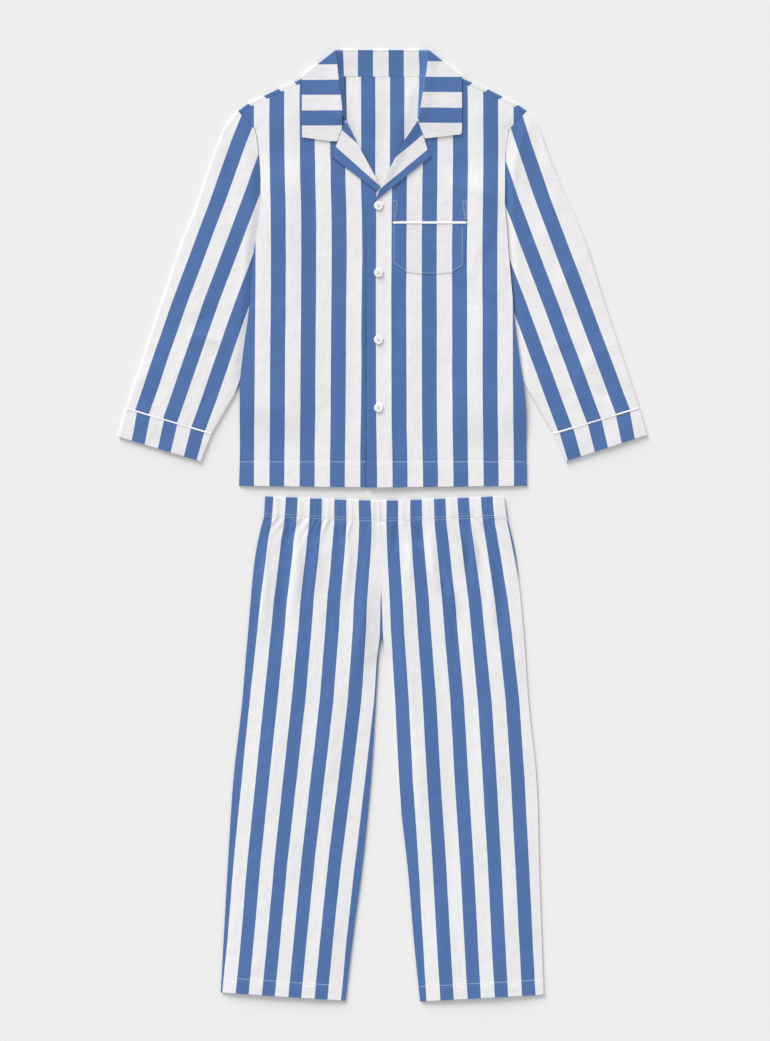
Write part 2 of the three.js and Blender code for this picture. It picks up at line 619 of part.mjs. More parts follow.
for (const [name, table, edge] of [
  ["right", SLEEVE_RIGHT, CUFF_EDGE_RIGHT], ["left", SLEEVE_LEFT, CUFF_EDGE_LEFT],
]) {
  const pipingHeight = tubeHeight(WALL + PIPING_RISE, CUFF_AIR);
  const pipingEnd = SEAM_GAP + PIPING_WIDTH;
  add(`sleeve_${name}`, facingOut(flatTube(sleeveRows(table, name), tubeHeight(WALL, SLEEVE_AIR), WALL)), CLOTH,
    ROUGHNESS.cloth);
  add(`cuff_piping_${name}`,
    facingOut(flatTube(cuffRows(table, edge, SEAM_GAP, pipingEnd), pipingHeight, WALL)), WHITE,
    ROUGHNESS.piping);
  add(`cuff_${name}`,
    facingOut(flatTube(cuffRows(table, edge, pipingEnd + SEAM_GAP, Infinity),
      tubeHeight(CASING_WALL, CUFF_AIR), CASING_WALL)), CLOTH, ROUGHNESS.cloth);
}

addCloth("shirt_back", shirtBack());
addCloth("shirt_front_right", shirtFrontRight());
addCloth("shirt_front_left", shirtFrontLeft());
addCloth("lapel_right", lapelRight());
addCloth("lapel_left", lapelLeft());
addCloth("collar", collar());
addCloth("pocket", pocketPatch());
addCloth("pocket_band", pocketBand());
addCloth("pocket_piping", pocketPiping(), WHITE);
BUTTON_ROWS.forEach(({ y }, k) => add(`button_${k + 1}`, button(y), PLASTIC, ROUGHNESS.plastic));

// Trousers

const waistRows = ["bottom", "top"].map((name) => WAIST.map((row) => [row[`${name}X`], row[name]]));
add("waistband", facingOut(flatTube(waistRows, tubeHeight(CASING_WALL, CUFF_AIR), CASING_WALL)), CLOTH,
  ROUGHNESS.cloth);

for (const [name, table, hem] of [["right", LEG_RIGHT, LEG_RIGHT_HEM], ["left", LEG_LEFT, LEG_LEFT_HEM]]) {
  const side = name === "right" ? -1 : 1;
  const top = WAIST.filter(({ bottomX }) => bottomX * side > CENTRE_CLEAR)
    .map((row) => [row.bottomX, row.bottom - SEAM_GAP]);
  const atWaist = side < 0 ? top : [...top].reverse();
  const crotch = CROTCH_X + (side * SEAM_GAP) / 2;
  const outline = [
    ...atWaist, [crotch, WAIST[3].bottom - SEAM_GAP],
    ...column(table, "inner"), ...points(hem).reverse(), ...column(table, "outer").reverse(),
  ];
  const ends = hem.map(({ y }) => y);
  const edges = [
    { y: WAIST[0].bottom, outer: WAIST[side < 0 ? 0 : WAIST.length - 1].bottomX, inner: crotch },
    ...table, { y: Math.min(...ends), outer: hem[0].x, inner: hem[1].x },
  ];
  const air = (x, y) => {
    const [outer, inner] = ["outer", "inner"].map((edge) => columnAt(edges, edge, y));
    const u = Math.min(1, Math.max(0, (x - outer) / (inner - outer)));
    return LEG_AIR * 4 * u * (1 - u);
  };
  const turned = side < 0 ? [...outline].reverse() : outline;
  addCloth(`leg_back_${name}`, panel(turned, () => 0, WALL, LEG_GRID));
  addCloth(`leg_front_${name}`, panel(turned, (x, y) => LAYER + air(x, y), WALL, LEG_GRID));
}

export default group;
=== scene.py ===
"""Striped pyjama set, laid flat and face up: a long-sleeved shirt above a pair of trousers.

Lengths are millimetres in the set's own frame, and meshes are made in metres. +X is the
wearer's left, +Y runs towards the collar and +Z up from the surface below.
"""

import math

import bpy
import numpy as np
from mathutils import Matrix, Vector
from mathutils.geometry import delaunay_2d_cdt


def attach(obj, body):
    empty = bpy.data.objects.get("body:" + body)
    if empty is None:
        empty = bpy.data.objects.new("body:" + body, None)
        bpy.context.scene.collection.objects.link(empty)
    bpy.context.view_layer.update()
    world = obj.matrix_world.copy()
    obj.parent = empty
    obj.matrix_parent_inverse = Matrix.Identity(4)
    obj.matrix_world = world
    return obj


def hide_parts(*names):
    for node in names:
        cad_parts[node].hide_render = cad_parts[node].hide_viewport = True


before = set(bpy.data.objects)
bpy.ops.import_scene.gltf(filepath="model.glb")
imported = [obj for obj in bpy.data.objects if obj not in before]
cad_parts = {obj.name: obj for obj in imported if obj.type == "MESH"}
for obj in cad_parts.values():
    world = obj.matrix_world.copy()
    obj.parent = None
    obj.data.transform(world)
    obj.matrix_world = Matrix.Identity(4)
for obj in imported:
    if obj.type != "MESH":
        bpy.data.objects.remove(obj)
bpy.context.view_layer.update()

bl_info = {
    "name": "Striped pyjama set",
    "version": (1, 0, 0),
    "blender": (4, 5, 0),
    "location": "3D View > Sidebar > Pyjama set",
    "description": "Builds a striped cotton pyjama set laid flat, with its seams, stitches and folds",
    "category": "Object",
}

MM = 0.001
SIDES = {"right": -1, "left": 1}

# Layers: one layer of cloth, what is sewn double, and how far apart layers lie
CLOTH = 0.7
DOUBLE = 1.2
LAYER = 1.35
FLAT_TUBE = 2.8        # a sleeve's two layers with nothing between them
CASING_TUBE = 3.2      # a cuff's or the waistband's two layers
RIM = 0.1              # how far a cut or pressed edge rounds over
TUBE_FOLD = 0.35       # how far a tube's pressed fold rounds over, and the steps across it
TUBE_FOLD_STEPS = np.array([0, 0.02, 0.08, 0.25, 0.55, 1])
TUBE_ENDS = np.array([0.06, 0.18, 0.5])
EDGE_FOLD = 0.15       # how far a panel's fold rounds over
BODY_AIR = 1.4
LEG_AIR = 1.6
SLEEVE_AIR = 1.0
CUFF_AIR = 0.4
SEAM_GAP = 0.3
THREAD = 0.32          # radius of sewing thread, drawn a little thick so that it shows


def table(columns, *rows):
    """A short table: named columns and a row for each section."""
    return {name: np.array(values, float) for name, values in zip(columns.split(), zip(*rows))}


# Shirt: right and left edge by height, from the hem to the underarm
SIDE_EDGE = table(
    "y right left",
    (70, -251.6, 252.3), (115, -250.3, 251.5), (220, -250.3, 249.5), (246, -250.0, 246.5),
    (290, -246.0, 239.5), (325, -241.3, 234.7), (360, -236.3, 230.5), (395, -232.4, 227.5),
    (483, -225.4, 219.5),
)
ARMHOLE = table(
    "y right left",
    (526, -218.4, 216.5), (546, -216.3, 214.5), (597, -213.7, 213.9), (662, -217.9, 215.5),
    (693, -223.0, 220.3), (716.5, -244.7, 243.0), (725.5, -253.0, 252.2),
)
SHOULDER = table(
    "y right left",
    (739, -234.7, 233.0), (764, -182.9, 182.9), (782.6, -139.7, 138.0), (809, -86.0, 84.0),
)
SHOULDER_DROP = 7.8
HEM_MIDDLE_Y = 66.9
HEM_STITCH_Y = 111.6
NECK_SEAM_Y = 785.3
NECK_SEAM = {"right": -80.0, "left": 77.0}

# Front edges, roll lines and lapels
LAP_TOP, LAP_UNDER, BREAK_Y = -27.6, 14.4, 566.6
LAP_DIP = 1.5
ROLL_RIGHT = table("x y", (-3.3, 591.4), (-11.9, 608.6), (-41.7, 663.5), (-63.4, 707.4))
ROLL_LEFT = table("x y", (-3.3, 591.4), (14.7, 629.6), (38.0, 674.0), (62.3, 710.0))
LAP_EASE = table("x y", (-14.0, 566.6), (-23.5, 553.3), (-27.6, 535.0))
LAPEL_RIGHT = table("x y", (-71.2, 693.1), (-79.6, 669.8), (-89.3, 645.3), (-10.4, 585.4), (-4.2, 592.4))
LAPEL_LEFT = table("x y", (62.3, 703.7), (73.0, 676.0), (78.2, 657.6), (84.7, 646.5), (-15.0, 565.9))

# Collar: the roll of each leaf, the line where its inside meets the back, and the leaves
COLLAR_TOP_Y = 832.04
COLLAR = table(
    "y right left inside_right inside_left",
    (832.04, -81.9, 80.3, -69.7, 62.3), (793, -78.2, 76.2, -68.3, 64.9), (788, -77.7, 75.4, -68.0, 65.0),
    (754, -73.5, 69.8, -65.8, 63.0), (723, -70.2, 64.4, -64.0, 61.4), (712, -66.6, 62.9, -63.9, 61.2),
)
LEAF_RIGHT = table("x y", (-71.6, 694.2), (-80.0, 670.8), (-141.4, 679.4), (-141.4, 786.0))
LEAF_LEFT = table("x y", (63.2, 705.0), (73.3, 677.0), (138.5, 684.7), (138.5, 786.0))
FALL_EDGE = table("x y", (112, 766), (60, 757), (0, 755), (-62, 757), (-114, 766))

# Pocket and buttons, on the left front
POCKET = {"right": 17.7, "left": 147.4, "top": 569.4, "band_end": 530.9, "body_top": 528.6}
POCKET_BOTTOM = table("x y", (142.0, 455.5), (122.0, 442.0), (82.0, 440.1), (40.0, 443.5), (19.4, 459.0))
POCKET_STITCH = table(
    "x y",
    (19.4, 524.0), (19.6, 459.9), (40.4, 444.9), (60.0, 441.8), (93.0, 441.6), (120.5, 444.6),
    (138.6, 455.8), (138.8, 524.0),
)
POCKET_WALL = 0.45
BUTTON_X = -7.5
BUTTON_ROWS = (559.6, 442.3, 325.1, 206.1)
BUTTON = {"radius": 7.9, "thick": 1.8, "rim": 1.1, "dish": 0.16, "hole": 0.62, "spread": 1.9}
BUTTONHOLE = {"length": 17.0, "width": 0.8, "offset": 2.0}

# Sleeves: outer and inner edge of each section, and the share of the armhole's curve it keeps
SLEEVE_RIGHT = table(
    "ox oy ix iy bulge",
    (-253.3, 725.2, -218.7, 526.0, 1), (-269.2, 706.0, -208.0, 500.0, 0.7),
    (-296.1, 643.6, -201.0, 461.6, 0.35),
    (-325.2, 558.7, -202.7, 412.6, 0.1), (-351.4, 494.1, -211.4, 356.6, 0), (-383.6, 396.8, -228.9, 297.0, 0),
    (-416.2, 300.6, -250.6, 246.3, 0), (-433.0, 251.0, -275.5, 203.0, 0), (-447.9, 206.6, -299.1, 162.3, 0),
)
SLEEVE_LEFT = table(
    "ox oy ix iy bulge",
    (252.5, 725.2, 216.8, 526.0, 1), (266.4, 709.0, 208.0, 500.0, 0.7), (290.7, 645.3, 201.0, 461.6, 0.35),
    (321.5, 573.0, 203.0, 412.6, 0.1), (350.5, 507.0, 211.0, 356.6, 0), (386.2, 395.1, 228.0, 297.0, 0),
    (417.3, 301.0, 249.5, 246.3, 0), (433.0, 253.0, 274.5, 203.0, 0), (447.9, 207.6, 298.2, 162.5, 0),
)
SLEEVES = {"right": SLEEVE_RIGHT, "left": SLEEVE_LEFT}
CUFF_EDGE = {"right": (-462.0, 156.0, -318.7, 112.8), "left": (462.0, 159.0, 319.9, 112.8)}
PIPING_WIDTH, PIPING_RISE = 2.8, 0.2

# Trousers: the waistband's two edges, then each leg by height
WAIST = table(
    "top_x top bottom_x bottom",
    (-205.8, 51.4, -207.9, 15.7), (-194.5, 51.0, -196.5, 15.3), (-120.0, 47.8, -120.0, 12.1),
    (-31.2, 44.0, -31.2, 8.3), (26.6, 44.0, 26.6, 8.3), (119.0, 47.6, 121.0, 11.0),
    (201.0, 51.2, 206.0, 13.4), (212.3, 51.4, 217.5, 13.7),
)
LEG_RIGHT = table(
    "y outer inner",
    (-19.3, -216.8, -3.6), (-74.6, -225.9, -3.6), (-95.6, -228.0, -3.6), (-193.8, -236.4, 0.1),
    (-217.4, -238.5, -6.8), (-303.0, -245.5, -12.0), (-436.9, -260.6, -20.2), (-611.5, -272.1, -37.8),
    (-724.9, -278.5, -52.9),
)
LEG_LEFT = table(
    "y outer inner",
    (-41.6, 230.7, -3.1), (-95.6, 237.5, -3.1), (-193.8, 246.9, 0.5), (-260.8, 251.6, 7.7),
    (-303.0, 254.6, 13.8), (-436.9, 268.3, 25.2), (-611.2, 274.0, 44.8), (-724.9, 278.0, 54.3),
)
LEGS = {"right": LEG_RIGHT, "left": LEG_LEFT}
LEG_HEM = {"right": ((-283.5, -816.3), (-65.3, -830.8)), "left": ((281.6, -820.1), (65.3, -832.04))}
CROTCH_X = -3.3
LEG_HEM_DEPTH = 26.0

# Stripes: a blue one is centred where the count is whole
STRIPE = {
    "repeat": 53.1, "body_x": -24.4, "inside_x": -25.4, "inside_repeat": 50.6, "stand_x": -30.3,
    "stand_repeat": 53.9,
}
STRIPE_LEAN = table(
    "y right left",
    (710, -1.7, 0.5), (657, -1.4, 1.0), (605, -0.8, 0.7), (552, 0.7, 0), (482, 1.4, -0.7), (412, 1.0, -0.8),
    (342, 0.2, -0.5), (272, -0.2, -0.7), (202, -0.7, -0.2), (132, -1.6, 1.0), (88, -1.7, 1.6),
)
SHOULDER_STRIPE = {"right": -195.4, "left": 197.1}
LEAF_STRIPE = {"right": (712.9, 53.4), "left": (718.0, 53.6)}
SLEEVE_STRIPE = {
    "right": table("y x repeat", (725, -230.5, 55.8), (675, -250.6, 55.8), (570, -288.0, 55.6),
                   (482.6, -321.0, 55.4),
                   (395, -353.6, 55.0), (290, -390.0, 54.8), (220, -413.6, 54.6), (160, -435.2, 54.6)),
    "left": table("y x repeat", (725, 228.7, 55.4), (675, 244.4, 55.4), (570, 280.2, 55.6),
                  (482.6, 313.4, 55.8),
                  (395, 346.8, 55.9), (290, 386.0, 56.0), (220, 412.0, 56.2), (160, 435.0, 56.2)),
}
SLEEVE_LAST_COUNT = 0.735
CUFF_STRIPE = {"right": (0.522, 0.556, 0.318), "left": (0.523, 0.561, 0.331)}
LEG_STRIPE = {
    "right": table("y x repeat", (52, -116.6, 42.5), (36.3, -117.1, 42.7), (4, -118.0, 43.8),
                   (-25, -121.6, 45.2),
                   (-60, -124.8, 45.7), (-130, -132.4, 46.6), (-182.4, -136.0, 47.5),
                   (-304.9, -147.2, 48.8), (-444.9, -162.4, 48.2), (-584.9, -177.9, 47.25),
                   (-724.9, -190.9, 46.3), (-835, -201.2, 46.4)),
    "left": table("y x repeat", (52, 99.2, 41.3), (36.3, 99.6, 41.5), (4, 101.0, 42.3), (-25, 104.3, 43.1),
                  (-60, 107.9, 44.2), (-130, 115.3, 45.9), (-182.4, 119.4, 46.9), (-304.9, 130.0, 48.4),
                  (-444.9, 138.3, 48.8), (-584.9, 146.6, 48.5),
                  (-724.9, 154.4, 48.1), (-835, 160.4, 47.8)),
}

# Beside this edge the stripes are drawn aside by this share of a repeat, between two heights
LEG_PULL = {"right": (LEG_RIGHT, "inner", 0.055, -560, -190), "left": (LEG_LEFT, "outer", -0.03, -230, 60)}

# Soft folds: from one end to the other, how wide, how high (troughs are below zero), and
# how far the middle bows sideways
BODY_FOLDS = table(
    "x0 y0 x1 y1 width height bow",
    (-205, 560, -120, 470, 16, 0.9, 8), (-212, 520, -150, 400, 14, -0.8, 6),
    (-190, 640, -150, 560, 18, 0.7, 4),
    (206, 565, 130, 600, 13, 0.8, -5), (212, 520, 160, 395, 15, -0.9, -8), (196, 480, 190, 330, 16, 0.8, 4),
    (-60, 330, -50, 150, 20, -0.8, 3), (-36, 470, -38, 230, 10, 0.5, 1), (-120, 420, -135, 190, 24, 0.8, 5),
    (-232, 200, -170, 120, 22, -0.9, 4), (24, 180, 20, 80, 11, -0.9, 2), (48, 410, 60, 200, 20, 0.7, -3),
    (110, 430, 200, 350, 20, -0.8, 5), (130, 260, 120, 110, 22, 0.8, 4), (205, 240, 225, 110, 18, 0.7, 3),
    (-95, 640, -60, 560, 14, 0.6, 3), (100, 640, 150, 590, 13, -0.6, 3), (-165, 740, -150, 620, 15, 0.6, 2),
    (168, 735, 160, 620, 15, 0.6, -2),
)
INSIDE_FOLDS = table(
    "x0 y0 x1 y1 width height bow",
    (-58, 770, -20, 640, 12, 0.9, 3), (52, 765, 22, 660, 11, 0.8, -3), (0, 760, 2, 640, 14, -0.7, 2),
)
SLEEVE_FOLDS = {
    "right": table(
        "x0 y0 x1 y1 width height bow",
        (-256, 705, -228, 600, 8, 1.3, 3), (-268, 690, -262, 560, 10, -0.9, -4),
        (-300, 600, -285, 470, 12, 0.7, 3),
        (-345, 480, -300, 380, 13, 0.9, 5), (-290, 380, -350, 340, 12, -0.9, 4),
        (-280, 320, -345, 330, 10, 0.9, -4),
        (-400, 330, -330, 250, 14, 0.8, 6), (-432, 232, -400, 290, 8, 0.9, 2),
        (-395, 214, -385, 262, 7, -0.8, 1),
        (-352, 200, -350, 258, 8, 0.9, -2), (-322, 186, -300, 240, 7, -0.7, 2),
    ),
    "left": table(
        "x0 y0 x1 y1 width height bow",
        (252, 702, 228, 610, 8, 1.4, -3), (268, 685, 258, 570, 10, -0.9, 4),
        (305, 590, 280, 480, 12, 0.8, -3),
        (350, 470, 300, 390, 13, 0.8, -5), (296, 372, 352, 350, 12, -0.9, 3),
        (285, 310, 345, 322, 10, 0.8, 4),
        (404, 320, 335, 255, 14, 0.8, -6), (436, 236, 410, 280, 8, 0.8, -2), (392, 214, 388, 250, 9, -1.3, 2),
        (355, 198, 345, 262, 9, 1.0, 3), (326, 188, 305, 236, 7, -0.8, -2),
    ),
}
LEG_FOLDS = table(
    "x0 y0 x1 y1 width height bow",
    (-31, -70, -46, -262, 11, 1.5, 3), (-22, -70, -36, -250, 19, 1.2, 3), (-164, 12, -166, -32, 6, -1.1, 1),
    (-80, 2, -76, -35, 6, -1.0, 1), (-176, -45, -184, -215, 12, -1.3, 4), (-133, -66, -140, -130, 8, -0.7, 2),
    (-96, -140, -101, -230, 9, -0.8, 2), (-204, -30, -214, -190, 8, 1.1, 3),
    (-150, -20, -158, -150, 9, 1.2, 3),
    (-112, -20, -118, -120, 8, 1.0, -2), (-60, -15, -72, -130, 9, 1.1, 3),
    (-85, -250, -110, -470, 20, 0.9, 6),
    (-190, -300, -205, -560, 22, 0.8, 5), (-140, -480, -120, -700, 24, -0.7, 6),
    (-230, -640, -215, -790, 18, 0.7, 4),
    (-90, -650, -100, -800, 16, 0.6, 3),
    (25, -105, 49, -330, 10, 1.4, -3), (38, -100, 62, -340, 19, 1.6, -3), (47, -280, 72, -520, 11, 1.1, -3),
    (60, -280, 88, -520, 21, 0.9, -3), (153, -4, 164, -74, 5, 1.7, 1), (144, -30, 152, -95, 6, -1.4, 1),
    (111, -84, 125, -160, 6, 2.0, 2), (106, -112, 134, -225, 8, -1.4, 3), (21, 5, 23, -45, 6, -1.3, 1),
    (63, -4, 66, -36, 6, -1.1, 1), (200, -50, 206, -205, 10, -1.2, 3), (84, -12, 94, -110, 8, 1.1, -2),
    (180, -40, 196, -180, 9, 1.1, 3), (44, -20, 50, -100, 7, 1.0, 1), (80, -230, 96, -450, 20, 0.7, -5),
    (186, -290, 196, -540, 22, 0.8, -5), (130, -470, 112, -690, 22, -0.7, -5),
    (225, -620, 214, -790, 18, 0.7, -4),
    (100, -640, 108, -800, 16, 0.6, -3),
)

# Sizes and colours that a user would change

def linear(hex_code):
    """An sRGB hex colour as linear red, green and blue."""
    parts = [int(hex_code[k:k + 2], 16) / 255 for k in (0, 2, 4)]
    return tuple(v / 12.92 if v <= 0.04045 else ((v + 0.055) / 1.055) ** 2.4 for v in parts)


class ClothChoices(bpy.types.PropertyGroup):
    """Colours and scale of the striped cotton."""

    white: bpy.props.FloatVectorProperty(
        name="White", description="White yarn of the single layers", subtype="COLOR", size=3,
        default=linear("E5E4E6"))
    blue: bpy.props.FloatVectorProperty(
        name="Blue", description="Blue yarn of the stripes", subtype="COLOR", size=3,
        default=linear("466BA3"))
    double_white: bpy.props.FloatVectorProperty(
        name="White, sewn double", description="White where the cloth is sewn double and shows no shade through it",
        subtype="COLOR", size=3,
        default=linear("E2E1E4"))
    stripe_share: bpy.props.FloatProperty(
        name="Blue share", description="Share of each repeat that is blue", default=0.492, min=0.1, max=0.9,
        subtype="FACTOR")
    yarn: bpy.props.FloatProperty(
        name="Yarn drawn", description="Spacing at which the weave is drawn", default=0.0011, min=0.0002, max=0.01,
        unit="LENGTH")
    step: bpy.props.FloatProperty(
        name="Mesh step", description="Distance between the points of the cloth", default=0.0042, min=0.002,
        max=0.02, unit="LENGTH")
    fold_height: bpy.props.FloatProperty(
        name="Fold height", description="Scales the soft folds", default=1.7, min=0.0, max=3.0, subtype="FACTOR")


class TrimChoices(bpy.types.PropertyGroup):
    """Colours of the piping, thread and buttons."""

    piping: bpy.props.FloatVectorProperty(
        name="Piping", description="Piping at the cuffs and pocket", subtype="COLOR", size=3,
        default=linear("F8F7F8"))
    thread: bpy.props.FloatVectorProperty(
        name="Thread", description="Sewing thread", subtype="COLOR", size=3,
        default=linear("F2F2F2"))
    button: bpy.props.FloatVectorProperty(
        name="Button", description="Button resin", subtype="COLOR", size=3,
        default=linear("EFEDEA"))


class StageChoices(bpy.types.PropertyGroup):
    """The floor, light and camera."""

    floor: bpy.props.FloatVectorProperty(
        name="Floor", description="Pale floor", subtype="COLOR", size=3,
        default=linear("E7E7E7"))
    sky: bpy.props.FloatProperty(
        name="Soft light", description="Strength of the light from all round", default=0.65, min=0.0, max=5.0)
    key: bpy.props.FloatProperty(
        name="Key light", description="Strength of the light from the collar's side", default=4.8, min=0.0, max=20.0)
    key_height: bpy.props.FloatProperty(
        name="Key height", description="Angle of the key light above the floor", default=math.radians(16.5),
        subtype="ANGLE", unit="ROTATION")
    key_softness: bpy.props.FloatProperty(
        name="Key softness", description="Width of the key light", default=math.radians(29), subtype="ANGLE",
        unit="ROTATION")
    camera_height: bpy.props.FloatProperty(
        name="Camera height", description="Camera above the floor", default=6.0, min=2.0, max=20.0, unit="LENGTH")


# Shapes in numbers

def ramp(value, start, end):
    t = np.clip((np.asarray(value, float) - start) / (end - start), 0, 1)
    return t * t * (3 - 2 * t)


def at(rows, name, y):
    """A table's column at a height."""
    order = np.argsort(rows["y"])
    return np.interp(y, rows["y"][order], rows[name][order])


def path(rows, name=None):
    """A table's points, in its order."""
    return np.column_stack([rows["x"] if name is None else rows[name], rows["y"]])


def stacked(*tables):
    return {k: np.concatenate([t[k] for t in tables]) for k in tables[0]}


BODY_EDGE = stacked(SIDE_EDGE, ARMHOLE)


def finer(points, step, closed=False):
    """Points along a line of points, at most a step apart."""
    points = np.asarray(points, float)
    ends = np.roll(points, -1, 0) if closed else points[1:]
    made = []
    for a, b in zip(points, ends):
        count = max(1, int(math.ceil(np.hypot(*(b - a)) / step)))
        made.append(a + (b - a) * (np.arange(count) / count)[:, None])
    if not closed:
        made.append(points[-1:])
    return np.concatenate(made)


def lengths(line):
    """How far along a line each of its points is."""
    return np.concatenate([[0], np.cumsum(np.hypot(*np.diff(line, axis=0).T))])


def along_line(line, run, spots):
    """Points of a line at these lengths."""
    return np.column_stack([np.interp(spots, run, line[:, 0]), np.interp(spots, run, line[:, 1])])


def smooth(points, run, spots):
    """Points at these lengths on a smooth curve through the points given."""
    tangent = np.gradient(points, run, axis=0)
    k = np.clip(np.searchsorted(run, spots, side="right") - 1, 0, len(run) - 2)
    span = (run[k + 1] - run[k])[:, None]
    t = ((spots - run[k])[:, None]) / span
    return (
        points[k] * (1 + 2 * t) * (1 - t) ** 2 + tangent[k] * span * t * (1 - t) ** 2
        + points[k + 1] * t * t * (3 - 2 * t) + tangent[k + 1] * span * t * t * (t - 1)
    )


def rounded(points, step):
    """A smooth curve through points, with its two ends kept."""
    points = np.asarray(points, float)
    run = lengths(points)
    return smooth(points, run, np.linspace(0, run[-1], max(2, int(run[-1] / step) + 1)))


def normals(line):
    """The direction across a line at each of its points."""
    tangent = np.gradient(line, axis=0)
    tangent /= np.hypot(*tangent.T)[:, None]
    return np.column_stack([-tangent[:, 1], tangent[:, 0]])


def polygon_area(ring):
    x, y = np.asarray(ring, float).T
    return abs(np.dot(x, np.roll(y, -1)) - np.dot(y, np.roll(x, -1))) / 2


def folds(x, y, rows):
    """Height that a table of soft folds adds at each place."""
    total = np.zeros_like(x, dtype=float)
    for x0, y0, x1, y1, width, height, bow in zip(*rows.values()):
        length = math.hypot(x1 - x0, y1 - y0)
        ux, uy = (x1 - x0) / length, (y1 - y0) / length
        t = ((x - x0) * ux + (y - y0) * uy) / length
        tc = np.clip(t, 0, 1)
        side = (x - x0) * -uy + (y - y0) * ux - bow * 4 * tc * (1 - tc)
        beyond = np.abs(t - tc) * length / (1.6 * width)
        taper = (0.25 + 0.75 * np.sin(np.pi * tc)) * np.exp(-beyond ** 2)
        wide = width * (0.75 + 0.5 * tc)
        total += height * taper * np.exp(-((side / wide) ** 2))
    return total * bpy.context.scene.pyjama_cloth.fold_height


def ripple(x, y, size, seed):
    """Slow, uneven waves, about one unit high, the same on every run."""
    rng = np.random.default_rng(seed)
    total = np.zeros_like(x, dtype=float)
    for _ in range(9):
        angle, phase = rng.uniform(0, 2 * math.pi, 2)
        wave = size * rng.uniform(0.7, 1.7)
        total += np.sin((x * math.cos(angle) + y * math.sin(angle)) * 2 * math.pi / wave + phase)
    return total / 4.2


# Heights of the shirt's layers

def side_share(x, y):
    left, right = at(BODY_EDGE, "left", y), at(BODY_EDGE, "right", y)
    return np.clip((x - right) / (left - right), 0, 1), np.minimum(x - right, left - x)


def back_under(x, y):
    """Underside of the back: lifted where it lies on the sleeves, and by the collar behind it."""
    side = ramp(np.abs(x), 112, 172) * ramp(y, 130, 212) * (1 - ramp(y, 582, 650))
    neck = (1 - ramp(np.abs(x), 165, 205)) * ramp(y, 665, 722)
    return 3.4 * side + LAYER * neck


def hem_step(above):
    """A hem is thicker below its stitches, and the stitches draw it in."""
    return 0.35 * (1 - ramp(above, -1.5, 1.5)) - 0.3 * np.exp(-((above / 1.6) ** 2))


def front_under(x, y):
    share, near = side_share(x, y)
    flat_at_neck = 1 - ramp(y, 560, 700)
    air = BODY_AIR * 4 * share * (1 - share) * flat_at_neck * (1 - 0.6 * np.exp(-((x / 60) ** 2)))
    inwards = ramp(near, 0, 22)
    wave = 0.75 * folds(x, y, BODY_FOLDS) + 0.22 * ripple(x, y, 95, 3) + 0.08 * ripple(x, y, 34, 4)
    shut = 0.15 * (1 - ramp(near, 0, 9)) * (1 - ramp(y, 690, 715))
    hem = hem_step(y - HEM_STITCH_Y)
    dip = LAP_DIP * beside_lap(x, y)
    return back_under(x, y) + LAYER + air + inwards * wave - shut + hem + 0.5 * inwards - dip


def beside_lap(x, y):
    """Where the lower front dips beside the edge that laps over it."""
    return np.exp(-(((x - LAP_TOP - 0.6) / 4.2) ** 2)) * (1 - ramp(y, 540, 570)) * (1 - 0.5 * ramp(y, 300, 420))


def top_front_under(x, y):
    lap = LAYER * (1 - ramp(x, 22, 70))
    ridge = 0.5 * np.exp(-(((x - LAP_UNDER) / 3.5) ** 2)) * (1 - ramp(y, 540, 580))
    edge = 0.5 * np.exp(-(((x - LAP_TOP) / 9) ** 2)) * (1 - ramp(y, 520, 560)) * (1 + 0.5 * ripple(x * 0, y, 120, 19))
    return front_under(x, y) + lap + ridge + edge + LAP_DIP * beside_lap(x, y)


def on_front(x, y):
    return front_under(x, y) + LAYER


def on_top_front(x, y):
    return top_front_under(x, y) + LAYER


# Stripe counts. Each gives the count, millimetres across and millimetres along the stripes

def drift(x, y, seed):
    """Cloth never lies quite true: stripes wander by about half a millimetre."""
    return 0.3 * ripple(x, y, 190, seed) + 0.16 * ripple(x, y, 60, seed + 1)


def upright(centre, repeat, seed=11):
    def cloth(x, y):
        across = x - centre + drift(x, y, seed)
        return np.column_stack([across / repeat, across, y])
    return cloth


def level(centre, repeat, seed=13):
    def cloth(x, y):
        across = y - centre + drift(x, y, seed)
        return np.column_stack([across / repeat, across, x])
    return cloth


def slanted(start, end, white, side):
    """Stripes along a line: blue outside it, then a white one of that width."""
    (x0, y0), (x1, y1) = start, end
    length = math.hypot(x1 - x0, y1 - y0)
    ux, uy = (x1 - x0) / length, (y1 - y0) / length

    def cloth(x, y):
        inwards = side * ((x - x0) * -uy + (y - y0) * ux)
        count = 0.246 + inwards * 0.508 / white
        return np.column_stack([count, inwards, (x - x0) * ux + (y - y0) * uy])
    return cloth


def by_height(rows, seed, offset=0):
    def cloth(x, y):
        across = x - at(rows, "x", y) + drift(x, y, seed)
        count = across / at(rows, "repeat", y) + offset
        return np.column_stack([count, across, y])
    return cloth


def on_body(x, y):
    """The fronts' stripes, which lean a little as the cloth lies."""
    lean = np.where(x < LAP_TOP, at(STRIPE_LEAN, "right", y), at(STRIPE_LEAN, "left", y))
    across = x - STRIPE["body_x"] - lean + drift(x, y, 11)
    return np.column_stack([across / STRIPE["repeat"], across, y])


inside_body = upright(STRIPE["inside_x"], STRIPE["inside_repeat"], seed=17)

# Shells. A part is its points, faces and cloth places

def inside(x, y, ring):
    odd = np.zeros(len(x), bool)
    for (x0, y0), (x1, y1) in zip(ring, np.roll(ring, -1, 0)):
        if y0 != y1:
            crosses = (y0 > y) != (y1 > y)
            odd ^= crosses & (x < (x1 - x0) * (y - y0) / (y1 - y0) + x0)
    return odd


